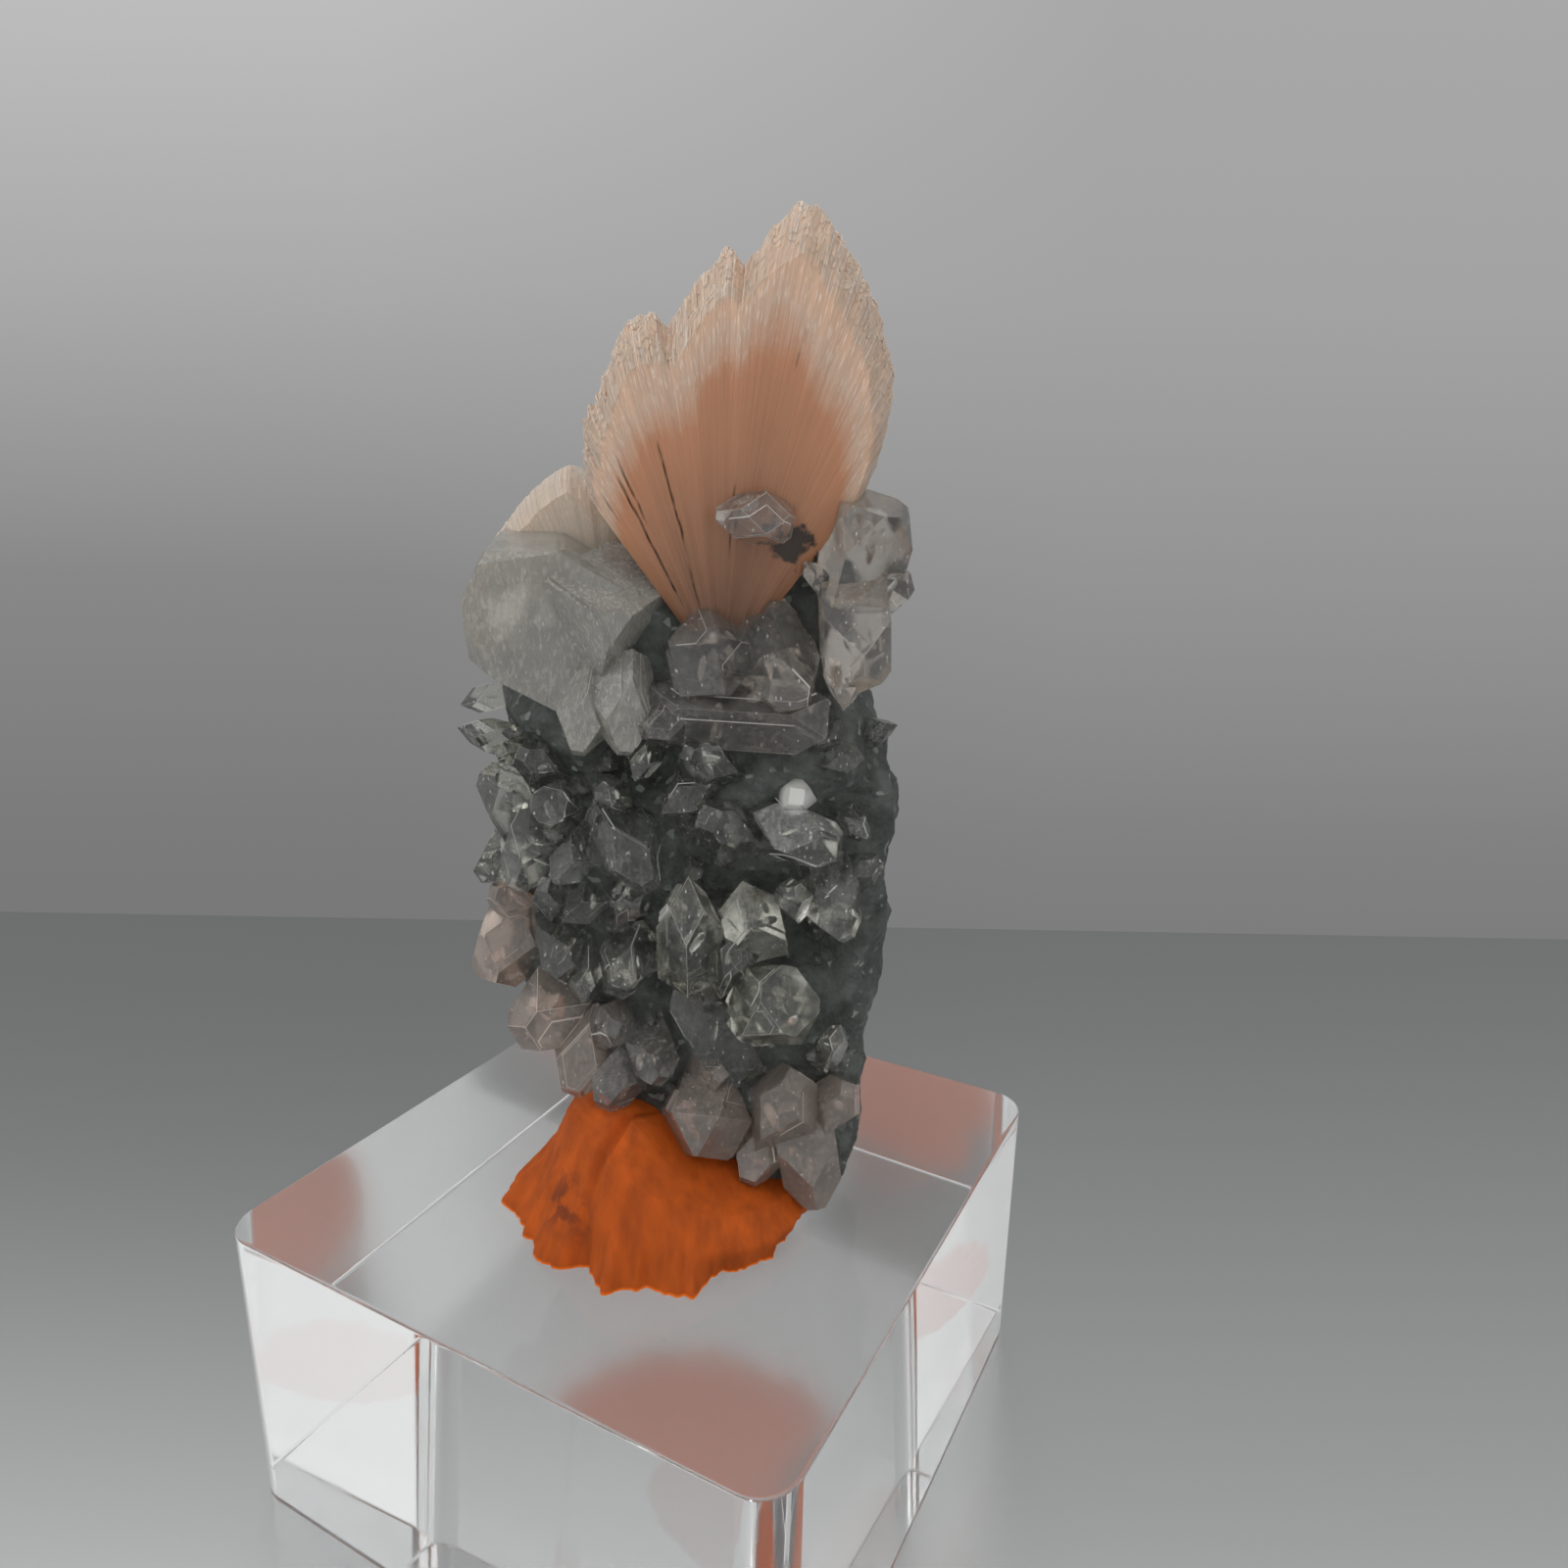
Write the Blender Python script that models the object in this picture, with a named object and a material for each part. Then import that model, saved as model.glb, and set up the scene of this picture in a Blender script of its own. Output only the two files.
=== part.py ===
"""Apophyllite and stilbite on basalt, held by putty on a clear acrylic block.

The specimen is laid out in its own millimetres: x to the right, y away from the
viewer, z up from the block's top. An empty then lifts it onto the block and turns
it, so that the row stands square to the block with its origin under the block.
"""
import math
import random
from collections import namedtuple

import bmesh
import bpy
from mathutils import Matrix, Quaternion, Vector, noise

MM = 0.001

# Acrylic block
BLOCK_SIDE = 50.0
BLOCK_HEIGHT = 25.0
BLOCK_CORNER = 3.0
BLOCK_EDGE = 0.4
CORNER_STEPS = 6

# How the specimen stands on the block
SPECIMEN_TURN = math.radians(28.0)
GAP = 0.3
# A cutter made from a rough body is pushed out further, since its hollows close in
ROUGH_GAP = 0.42
# Corners nearer than this are one corner, and faces flatter than this are one face
MERGE_WITHIN = 0.02
FLAT_WITHIN = math.radians(1.0)
LEVEL_WITHIN = 0.01

# Basalt matrix: height, left edge, right edge, front and back of each level
ROCK_ROWS = (
    (0.9, 9.2, 13.2, -8.0, -3.0),
    (3.0, 3.6, 15.2, -8.4, 1.0),
    (6.0, -0.6, 16.0, -8.0, 3.6),
    (9.0, -4.2, 16.6, -7.4, 5.0),
    (12.0, -7.0, 17.2, -7.0, 5.8),
    (16.0, -10.2, 17.7, -6.6, 6.2),
    (20.5, -11.6, 17.5, -6.4, 6.6),
    (26.0, -12.0, 18.5, -6.4, 7.0),
    (29.0, -12.0, 18.3, -6.6, 7.0),
    (34.5, -12.2, 19.0, -6.6, 7.0),
    (40.0, -12.4, 16.4, -6.8, 6.8),
    (45.0, -12.0, 14.4, -6.0, 6.2),
    (49.0, -9.0, 14.6, -4.6, 5.6),
    (51.2, 0.5, 14.2, -3.8, 4.4),
    (52.6, 9.6, 13.6, -3.6, 2.0),
)
ROCK_LEVELS = 26
ROCK_SIDES = 32
ROCK_SQUARENESS = 0.62
ROCK_BEND_FROM = -2.0
ROCK_BEND = 0.045
ROCK_SWELL = (7.5, 1.2)
ROCK_CHIP = (5.0, 2.0)
CHIP_LEVEL = 0.45
# Share of the roughness that also lifts the stone, and how hollows fade round to its back
ROCK_LIFT = 0.4
HOLLOW_POWER = 3
# Hollows between the crystals and one raised ledge: x, z, radius, depth into the rock
ROCK_HOLLOWS = (
    (0.5, 37.6, 3.4, 2.2),
    (10.4, 24.0, 3.0, 2.4),
    (2.6, 20.0, 2.4, 1.6),
    (12.6, 39.2, 4.2, -2.2),
)

# Stilbite: angle from upright in degrees, distance from where the blades meet
Sheaf = namedtuple("Sheaf", "focus middle_y outline start blades layers rings half_depth widening")
MAIN_SHEAF = Sheaf(
    focus=(5.2, 43.5), middle_y=-4.0, start=3.0, blades=28, layers=6, rings=5,
    half_depth=2.6, widening=0.12,
    outline=(
        (-35.5, 16.4), (-32.0, 18.4), (-27.0, 20.2), (-21.5, 21.9), (-17.0, 24.2), (-13.5, 24.8),
        (-10.5, 24.9), (-8.5, 23.7), (-5.0, 25.6), (-1.5, 27.2), (1.5, 28.7), (3.5, 27.7),
        (6.5, 30.0), (9.0, 31.6), (11.0, 31.8), (13.5, 30.8), (18.0, 29.0), (23.0, 27.0),
        (27.0, 25.0), (31.0, 22.8), (34.0, 20.4), (37.0, 17.0),
    ),
)
PALE_SHEAF = Sheaf(
    focus=(-3.6, 42.6), middle_y=2.4, start=3.5, blades=14, layers=4, rings=3,
    half_depth=2.0, widening=0.13,
    outline=(
        (-76.0, 11.0), (-62.0, 12.6), (-48.0, 13.5), (-36.0, 14.2), (-25.0, 15.2), (-11.0, 16.4),
        (-6.0, 15.4), (6.0, 13.0),
    ),
)
BLADE_TIP = 0.5
BLADE_UNEVENNESS = 0.55
BLADE_RIDGE = 0.08
DOME_DROP = 0.12
DOME_POWER = 3.0
EDGE_THINNING = 0.3
EDGE_POWER = 6
SHEAF_SEED = 11

# Apophyllite's pointed faces lean this far from its long axis
POINT_LEAN = math.radians(60.4)
POINT_UNEVENNESS = 0.05
# Buried length of a crystal for each unit of its half width, where its row gives none
FOOT_LENGTH = 1.5

# at: middle of the square prism. axis: where its point looks. spin: turn about the axis.
# half: middle to side face. tip: middle to the sharp point. flat: where the point is cut
# off. foot: middle to the buried end. pointed_foot: the foot is a point as well. broken: a
# point and an outward direction for each corner that is broken off.
Crystal = namedtuple("Crystal", "at axis spin half tip flat foot pointed_foot broken")


def crystal(at, axis, spin, half, tip, flat=None, foot=None, pointed_foot=False, broken=()):
    flat = tip if flat is None else flat
    foot = half * FOOT_LENGTH if foot is None else foot
    broken = [(Vector(point), Vector(outward).normalized()) for point, outward in broken]
    return Crystal(Vector(at), Vector(axis).normalized(), math.radians(spin), half, tip, flat, foot,
                   pointed_foot, broken)


CRYSTALS = {
    "apophyllite_upper_left_large": (
        crystal((-8.4, -3.0, 48.2), (-0.86, -0.14, 0.49), 3, 5.0, 13.0, flat=4.5, foot=4.5,
                broken=(((-12.9, -3.0, 47.0), (-0.99, -0.12, 0.0)),
                        ((-8.0, -3.0, 53.0), (0.0, -0.15, 1.0)))),
        crystal((-3.0, -4.8, 47.2), (0.80, -0.34, -0.49), 0, 3.6, 9.6, flat=2.8, foot=3.2),
        crystal((-4.2, -6.6, 41.6), (-0.10, -0.55, -0.82), 20, 1.9, 4.6, flat=3.8, foot=2.4),
        crystal((-1.6, -6.8, 42.1), (0.06, -0.50, -0.86), 38, 2.1, 4.9, flat=4.1, foot=2.6),
    ),
    "apophyllite_on_stilbite": (
        crystal((7.9, -8.8, 54.7), (-0.95, -0.20, 0.10), 30, 1.5, 3.5, flat=2.9, foot=2.2,
                pointed_foot=True),
    ),
    "apophyllite_upper_right": (
        crystal((14.8, -5.4, 53.0), (0.20, -0.30, 0.92), 28, 2.6, 7.0, flat=3.1, foot=3.4),
        crystal((16.3, -5.2, 49.9), (0.80, -0.40, 0.15), 40, 1.8, 3.4, flat=2.3, foot=3.0),
        crystal((12.0, -6.6, 50.6), (-0.55, -0.45, 0.70), 15, 0.7, 1.9, foot=2.2),
    ),
    "apophyllite_lower_right_pair": (
        crystal((14.6, -6.4, 46.6), (0.10, -0.55, -0.80), 16, 2.3, 5.4, flat=3.6, foot=3.4),
        crystal((14.0, -6.8, 43.9), (-0.05, -0.60, -0.80), 40, 1.1, 2.6, foot=2.4),
    ),
    "apophyllite_centre_large": (
        crystal((4.5, -7.2, 45.1), (-0.24, -0.90, -0.16), 38, 2.8, 5.5, flat=2.5, foot=4.0),
        crystal((9.1, -7.2, 45.2), (0.30, -0.55, -0.76), 12, 2.1, 6.0, flat=4.4, foot=4.4,
                pointed_foot=True),
    ),
    "apophyllite_centre_flat": (
        crystal((6.4, -7.4, 41.3), (1.0, -0.12, -0.02), 24, 1.9, 8.6, flat=6.6, foot=6.0,
                pointed_foot=True),
        crystal((2.0, -7.4, 40.8), (-0.70, -0.62, -0.20), 12, 1.6, 3.6, flat=2.8, foot=3.4),
    ),
    "apophyllite_row_two_left": (
        crystal((-0.3, -6.8, 37.8), (-0.15, -0.80, -0.50), 20, 1.0, 2.4, foot=2.2),
    ),
    "apophyllite_row_two_middle": (
        crystal((4.3, -7.4, 37.9), (-0.40, -0.80, 0.35), 5, 1.7, 3.6, flat=2.8, foot=2.8),
        crystal((3.1, -7.4, 35.2), (-0.55, -0.75, -0.20), 38, 1.4, 3.2, foot=2.6),
    ),
    "apophyllite_middle_lens": (
        crystal((10.6, -8.2, 32.6), (0.93, -0.32, -0.14), 38, 1.7, 4.8, flat=3.5, foot=3.8,
                pointed_foot=True),
        crystal((5.7, -8.0, 32.9), (-0.40, -0.72, 0.50), 8, 1.8, 4.2, flat=2.6, foot=3.2),
        crystal((10.7, -7.8, 35.3), (0.05, -0.92, 0.30), 40, 1.15, 2.6, flat=1.6, foot=2.4),
    ),
    "apophyllite_middle_wedge": (
        crystal((-1.4, -7.9, 31.1), (0.52, -0.66, -0.48), 30, 2.1, 4.6, flat=3.6, foot=3.4),
        crystal((-5.4, -7.0, 30.2), (-0.40, -0.75, -0.40), 15, 1.4, 3.2, flat=2.6, foot=3.0),
    ),
    "apophyllite_hollow_ring": (
        crystal((-6.8, -6.4, 34.0), (-0.10, -0.90, 0.25), 30, 1.35, 3.8, flat=1.6, foot=3.0),
    ),
    "apophyllite_left_edge": (
        crystal((-10.6, -3.6, 33.2), (-0.30, -0.40, 0.88), 12, 1.7, 4.8, flat=3.6, foot=3.6),
        crystal((-8.9, -5.0, 30.2), (-0.30, -0.60, -0.70), 33, 1.9, 4.3, flat=3.4, foot=3.4),
        crystal((-11.9, -2.6, 28.4), (-0.70, -0.50, -0.40), 20, 1.7, 3.4, flat=2.4, foot=3.2),
        crystal((-12.8, -2.2, 38.2), (-0.80, -0.40, 0.30), 8, 1.0, 2.3, foot=2.6),
    ),
    "apophyllite_left_rim_small": (
        crystal((-13.0, -0.8, 40.8), (-0.85, -0.30, -0.20), 25, 1.0, 2.1, foot=2.4),
    ),
    "apophyllite_cavity_left": (
        crystal((-8.4, -4.9, 36.8), (-0.30, -0.75, 0.45), 10, 1.3, 3.0, flat=2.2, foot=2.8),
        crystal((-11.0, -3.0, 37.0), (0.20, -0.80, 0.20), 35, 0.9, 2.4, foot=2.4),
    ),
    "apophyllite_cavity_middle": (
        crystal((-2.7, -6.5, 34.6), (0.10, -0.62, 0.76), 20, 1.3, 3.0, flat=2.2, foot=2.4),
    ),
    "apophyllite_row_three_left": (
        crystal((-1.6, -6.9, 26.8), (0.30, -0.70, 0.50), 35, 1.5, 3.4, flat=2.2, foot=2.6),
        crystal((-4.6, -6.2, 26.4), (-0.50, -0.70, -0.20), 12, 1.3, 3.0, foot=2.6),
        crystal((-7.2, -5.2, 26.4), (-0.20, -0.70, 0.60), 28, 1.5, 3.4, flat=2.6, foot=2.8),
    ),
    "apophyllite_right_edge_small": (
        crystal((16.6, -4.0, 39.4), (0.80, -0.40, 0.35), 15, 0.8, 1.8, foot=2.0),
    ),
    "apophyllite_middle_prism": (
        crystal((3.1, -8.5, 24.4), (0.0, -0.16, 0.98), 45, 1.75, 5.6, foot=3.4),
    ),
    "apophyllite_middle_pyramid": (
        crystal((7.5, -8.3, 26.4), (-0.12, -0.50, 0.86), 12, 2.1, 4.1, foot=3.0),
        crystal((6.2, -7.6, 22.8), (0.25, -0.50, 0.80), 40, 1.6, 3.8, foot=3.0),
    ),
    "apophyllite_right_trio": (
        crystal((10.6, -8.7, 28.0), (-0.15, -0.80, 0.50), 45, 1.1, 2.6, flat=1.9, foot=2.6),
        crystal((13.6, -8.0, 27.5), (0.30, -0.70, -0.60), 24, 1.7, 4.0, flat=3.2, foot=3.2),
        crystal((15.9, -6.8, 29.6), (0.45, -0.60, 0.55), 8, 1.0, 2.3, flat=1.6, foot=2.4),
        crystal((15.0, -7.0, 33.0), (0.40, -0.75, -0.20), 30, 0.8, 1.9, foot=2.2),
    ),
    "apophyllite_lower_cube": (
        crystal((9.4, -9.4, 19.6), (0.50, -0.66, 0.55), 14, 2.5, 6.2, flat=2.4, foot=3.2,
                pointed_foot=True),
    ),
    "apophyllite_lower_left_blocks": (
        crystal((-1.7, -8.0, 22.0), (-0.20, -0.78, -0.48), 8, 1.6, 3.5, flat=2.3, foot=2.8),
        crystal((-6.7, -5.9, 22.5), (0.30, -0.78, -0.45), 24, 2.0, 4.3, flat=2.8, foot=3.2),
        crystal((-5.0, -7.3, 20.9), (0.10, -0.70, -0.55), 40, 1.0, 2.5, foot=2.6),
    ),
    "apophyllite_left_pale_lump": (
        crystal((-11.9, -2.4, 21.4), (-0.22, -0.45, -0.86), 28, 2.3, 5.4, flat=3.4, foot=3.4,
                pointed_foot=True),
        crystal((-11.2, -2.8, 25.2), (-0.50, -0.66, 0.45), 10, 1.5, 3.2, flat=2.3, foot=3.0),
    ),
    "apophyllite_long_dark_prism": (
        crystal((4.7, -7.8, 16.8), (-0.42, -0.22, 0.88), 18, 1.9, 5.8, flat=4.8, foot=4.6),
    ),
    "apophyllite_lower_middle": (
        crystal((-2.8, -7.9, 17.2), (0.05, -0.85, 0.35), 22, 1.6, 3.7, flat=2.6, foot=2.8),
        crystal((0.0, -7.6, 14.9), (0.30, -0.75, -0.40), 40, 1.7, 3.9, flat=2.9, foot=3.0),
        crystal((-2.4, -8.0, 13.0), (-0.35, -0.75, -0.50), 12, 1.9, 3.9, flat=2.9, foot=3.2),
    ),
    "apophyllite_lower_left_mass": (
        crystal((-8.2, -5.6, 16.8), (-0.45, -0.75, -0.30), 30, 2.5, 5.0, flat=3.0, foot=3.0),
        crystal((-5.2, -6.8, 14.0), (-0.25, -0.70, -0.60), 8, 2.3, 4.6, flat=3.2, foot=3.0),
    ),
    "apophyllite_foot_cap": (
        crystal((4.3, -8.5, 9.7), (-0.10, -0.40, 0.90), 34, 2.6, 6.3, flat=3.0, foot=2.8,
                pointed_foot=True),
        crystal((4.6, -8.2, 13.4), (0.40, -0.75, 0.30), 10, 1.2, 2.8, flat=1.9, foot=2.4),
    ),
    "apophyllite_right_sliver": (
        crystal((13.8, -8.0, 15.4), (0.20, -0.40, 0.90), 45, 0.8, 2.9, foot=2.6, pointed_foot=True),
    ),
    "apophyllite_foot_right": (
        crystal((10.2, -8.3, 10.8), (0.20, -0.50, 0.80), 20, 2.3, 5.2, flat=3.6, foot=3.6),
        crystal((12.2, -7.6, 6.4), (0.16, -0.45, -0.85), 38, 2.3, 5.4, flat=4.6, foot=3.4),
        crystal((8.4, -8.0, 6.4), (-0.30, -0.70, -0.50), 10, 1.8, 3.6, flat=2.6, foot=3.0),
        crystal((14.0, -7.2, 10.2), (0.35, -0.60, 0.70), 42, 1.8, 4.4, flat=3.4, foot=3.0),
    ),
}

# Putty: compass angle about its middle, reach on the block's top, height where it grips
PUTTY_MIDDLE = (2.4, -4.4)
PUTTY_ROWS = (
    (-174, 15.0, 10.4), (-160, 13.6, 10.8), (-148, 13.5, 11.2), (-138, 13.8, 11.0), (-132, 13.3, 10.8),
    (-126, 11.4, 10.4), (-119, 11.8, 10.0), (-113, 13.3, 9.6), (-107, 12.4, 8.8), (-100, 11.3, 7.8),
    (-90, 12.0, 6.8), (-83, 12.6, 6.2), (-76, 10.8, 5.6), (-66, 10.4, 5.2), (-50, 10.5, 4.6),
    (-25, 9.4, 3.8), (-6, 8.8, 3.4), (8, 11.0, 4.0), (16, 13.6, 4.8), (30, 12.6, 6.6), (60, 10.8, 8.2),
    (90, 10.4, 9.4), (120, 11.2, 10.4), (150, 13.0, 10.4), (170, 14.4, 10.2),
)
PUTTY_SIDES = 60
PUTTY_LEVELS = ((1.00, 0.00), (0.99, 0.09), (0.90, 0.40), (0.76, 0.80), (0.55, 1.00))
PUTTY_LUMPS = (4.5, 0.5)
# The foot's lobes even out into a round slope of this reach as the putty climbs
PUTTY_REACH = 12.4
PUTTY_EVENING = 2.2

# Finish of each material: colour, roughness, how much light passes
FINISHES = {
    "acrylic": ((0.86, 0.88, 0.89), 0.03, 1.0),
    "putty": ((0.58, 0.11, 0.02), 0.75, 0.0),
    "basalt": ((0.055, 0.066, 0.062), 0.85, 0.0),
    "stilbite": ((0.80, 0.42, 0.26), 0.38, 0.0),
    "stilbite_pale": ((0.66, 0.56, 0.46), 0.42, 0.0),
    "apophyllite": ((0.72, 0.74, 0.72), 0.08, 0.9),
}


def between(rows, key):
    """Read a table of rows, sorted by their first value, at any key by straight interpolation."""
    if key <= rows[0][0]:
        return rows[0][1:]
    for low, high in zip(rows, rows[1:]):
        if key <= high[0]:
            share = (key - low[0]) / (high[0] - low[0])
            return tuple(a + share * (b - a) for a, b in zip(low[1:], high[1:]))
    return rows[-1][1:]


def clear_scene():
    for thing in list(bpy.data.objects):
        bpy.data.objects.remove(thing, do_unlink=True)


def new_object(name, bm):
    """Turn an edit mesh into an object whose faces all point out."""
    bmesh.ops.recalc_face_normals(bm, faces=bm.faces[:])
    mesh = bpy.data.meshes.new(name)
    bm.to_mesh(mesh)
    bm.free()
    thing = bpy.data.objects.new(name, mesh)
    bpy.context.collection.objects.link(thing)
    return thing


def combine(target, others, operation):
    """Apply a Boolean with each of the others to the target's own mesh."""
    for other in others:
        step = target.modifiers.new(operation.lower(), "BOOLEAN")
        step.operation = operation
        step.solver = "EXACT"
        step.object = other
    bpy.context.view_layer.update()
    depsgraph = bpy.context.evaluated_depsgraph_get()
    result = bpy.data.meshes.new_from_object(target.evaluated_get(depsgraph), depsgraph=depsgraph)
    target.modifiers.clear()
    target.data = result


def boxes_meet(first, second):
    """Whether two objects' upright boxes overlap."""
    for axis in range(3):
        a = [corner[axis] for corner in first.bound_box]
        b = [corner[axis] for corner in second.bound_box]
        if max(a) < min(b) or max(b) < min(a):
            return False
    return True


def connected_parts(bm):
    """Group an edit mesh's faces into connected bodies."""
    left = set(bm.faces)
    parts = []
    while left:
        part = set()
        edge_of_search = [left.pop()]
        while edge_of_search:
            face = edge_of_search.pop()
            part.add(face)
            for edge in face.edges:
                for other in edge.link_faces:
                    if other in left:
                        left.discard(other)
                        edge_of_search.append(other)
        parts.append(part)
    return parts


def part_volume(part):
    volume = 0.0
    for face in part:
        corners = [vertex.co for vertex in face.verts]
        for second, third in zip(corners[1:], corners[2:]):
            volume += corners[0].dot(second.cross(third)) / 6.0
    return abs(volume)


def tidy(thing):
    """Keep the largest body, merge flat faces and close up tiny edges."""
    bm = bmesh.new()
    bm.from_mesh(thing.data)
    parts = connected_parts(bm)
    keep = max(parts, key=part_volume)
    bmesh.ops.delete(bm, geom=[f for part in parts if part is not keep for f in part], context="FACES")
    bmesh.ops.remove_doubles(bm, verts=bm.verts[:], dist=MERGE_WITHIN)
    bmesh.ops.dissolve_limit(bm, angle_limit=FLAT_WITHIN, verts=bm.verts[:], edges=bm.edges[:])
    bmesh.ops.triangulate(bm, faces=bm.faces[:])
    bmesh.ops.dissolve_degenerate(bm, dist=MERGE_WITHIN / 4, edges=bm.edges[:])
    bm.to_mesh(thing.data)
    bm.free()


def grown_copy(thing, by):
    """Copy an object with its skin pushed outwards, as a cutter that leaves a gap."""
    bm = bmesh.new()
    bm.from_mesh(thing.data)
    bm.normal_update()
    moves = [vertex.normal * by for vertex in bm.verts]
    for vertex, move in zip(bm.verts, moves):
        vertex.co += move
    return new_object(thing.name + "_grown", bm)


def close_with_fan(bm, ring):
    """Close a ring of vertices with triangles that meet in its middle."""
    middle = bm.verts.new(sum((v.co for v in ring), Vector()) / len(ring))
    for a, b in zip(ring, ring[1:] + ring[:1]):
        bm.faces.new((a, b, middle))


def loft(name, rings):
    """Join rings of points, bottom to top, into one closed body."""
    bm = bmesh.new()
    rows = [[bm.verts.new(point) for point in ring] for ring in rings]
    for low, high in zip(rows, rows[1:]):
        for i in range(len(low)):
            j = (i + 1) % len(low)
            bm.faces.new((low[i], low[j], high[j], high[i]))
    close_with_fan(bm, rows[0][::-1])
    close_with_fan(bm, rows[-1])
    bmesh.ops.triangulate(bm, faces=bm.faces[:])
    return new_object(name, bm)


def acrylic_block():
    """The square block with rounded upright edges, in place under the specimen."""
    bm = bmesh.new()
    bmesh.ops.create_cube(bm, size=1.0)
    bmesh.ops.scale(bm, vec=(BLOCK_SIDE, BLOCK_SIDE, BLOCK_HEIGHT), verts=bm.verts[:])
    bmesh.ops.translate(bm, vec=(0.0, 0.0, BLOCK_HEIGHT / 2), verts=bm.verts[:])
    upright = [e for e in bm.edges if abs(e.verts[0].co.z - e.verts[1].co.z) > LEVEL_WITHIN]
    bmesh.ops.bevel(bm, geom=upright, offset=BLOCK_CORNER, segments=CORNER_STEPS, profile=0.5,
                    affect="EDGES")
    rim = [e for e in bm.edges if abs(e.verts[0].co.z - e.verts[1].co.z) < LEVEL_WITHIN]
    bmesh.ops.bevel(bm, geom=rim, offset=BLOCK_EDGE, segments=1, profile=0.5, affect="EDGES")
    bmesh.ops.triangulate(bm, faces=bm.faces[:])
    return new_object("acrylic_block", bm)


def broken_stone(point):
    """How far a broken stone face stands out: slow swells and scooped chips with sharp rims."""
    swell_size, swell_height = ROCK_SWELL
    chip_size, chip_depth = ROCK_CHIP
    nearest = noise.voronoi(point / chip_size)[0][0]
    return swell_height * noise.noise(point / swell_size) + chip_depth * (nearest - CHIP_LEVEL)


def rock_point(height, turn):
    """One point of the basalt's skin at a height and an angle around it."""
    left, right, front, back = between(ROCK_ROWS, height)
    across = math.cos(turn)
    through = math.sin(turn)
    squared_x = math.copysign(abs(across) ** ROCK_SQUARENESS, across)
    squared_y = math.copysign(abs(through) ** ROCK_SQUARENESS, through)
    x = (left + right) / 2 + squared_x * (right - left) / 2
    y = (front + back) / 2 + squared_y * (back - front) / 2
    nearness = (1.0 - squared_y) / 2
    y += nearness * ROCK_BEND * max(0.0, ROCK_BEND_FROM - x) ** 2
    for hollow_x, hollow_z, radius, depth in ROCK_HOLLOWS:
        reach = ((x - hollow_x) ** 2 + (height - hollow_z) ** 2) / radius ** 2
        y += nearness ** HOLLOW_POWER * depth * math.exp(-reach)
    rough = broken_stone(Vector((x, y, height)))
    return Vector((x + rough * squared_x, y + rough * squared_y, height + ROCK_LIFT * rough))


def basalt_matrix():
    low = ROCK_ROWS[0][0]
    high = ROCK_ROWS[-1][0]
    rings = []
    for level in range(ROCK_LEVELS + 1):
        height = low + (high - low) * level / ROCK_LEVELS
        rings.append([rock_point(height, math.tau * i / ROCK_SIDES) for i in range(ROCK_SIDES)])
    return loft("basalt_matrix", rings)


def blade_grid(sheaf):
    """A flat sheaf: x across the blades, y through them, z along them from 0 to 1 at the ends."""
    bm = bmesh.new()
    bmesh.ops.create_grid(bm, x_segments=sheaf.blades, y_segments=sheaf.layers, size=1.0)
    for vertex in bm.verts:
        vertex.co.z = 1.0
    peaks = bmesh.ops.poke(bm, faces=bm.faces[:])["verts"]
    edges = [edge for edge in bm.edges if edge.is_boundary]
    for ring in range(sheaf.rings):
        made = bmesh.ops.extrude_edge_only(bm, edges=edges)["geom"]
        edges = [g for g in made if isinstance(g, bmesh.types.BMEdge)]
        for vertex in (g for g in made if isinstance(g, bmesh.types.BMVert)):
            vertex.co.z = 1.0 - (ring + 1) / sheaf.rings
    foot = bmesh.ops.contextual_create(bm, geom=edges)["faces"]
    bmesh.ops.poke(bm, faces=foot)
    return bm, set(peaks)


def bend_into_sheaf(sheaf, flat, is_peak, chance):
    """Carry one point of the flat sheaf to its place in the radiating fan."""
    low = sheaf.outline[0][0]
    high = sheaf.outline[-1][0]
    angle = low + (high - low) * (flat.x + 1.0) / 2
    length = between(sheaf.outline, angle)[0]
    length *= 1.0 - DOME_DROP * abs(flat.y) ** DOME_POWER
    if is_peak:
        length += BLADE_TIP + chance.uniform(-BLADE_UNEVENNESS, BLADE_UNEVENNESS)
    reach = sheaf.start + (length - sheaf.start) * flat.z
    turn = math.radians(angle)
    half = (sheaf.half_depth + sheaf.widening * reach) * (1.0 - EDGE_THINNING * flat.x ** EDGE_POWER)
    ridge = BLADE_RIDGE * math.cos(math.pi * sheaf.blades * (flat.x + 1.0) / 2)
    x = sheaf.focus[0] + reach * math.sin(turn)
    z = sheaf.focus[1] + reach * math.cos(turn)
    return Vector((x, sheaf.middle_y + flat.y * (half + ridge), z))


def stilbite(name, sheaf):
    chance = random.Random(SHEAF_SEED)
    bm, peaks = blade_grid(sheaf)
    for vertex in bm.verts:
        vertex.co = bend_into_sheaf(sheaf, vertex.co.copy(), vertex in peaks, chance)
    bmesh.ops.triangulate(bm, faces=bm.faces[:])
    return new_object(name, bm)


def slice_off(bm, point, normal):
    """Cut a convex solid with a plane, drop what lies outside it and close the cut."""
    geometry = bm.verts[:] + bm.edges[:] + bm.faces[:]
    cut = bmesh.ops.bisect_plane(bm, geom=geometry, plane_co=point, plane_no=normal, clear_outer=True)
    edges = [g for g in cut["geom_cut"] if isinstance(g, bmesh.types.BMEdge)]
    if len(edges) > 2:
        bmesh.ops.contextual_create(bm, geom=edges)


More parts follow.
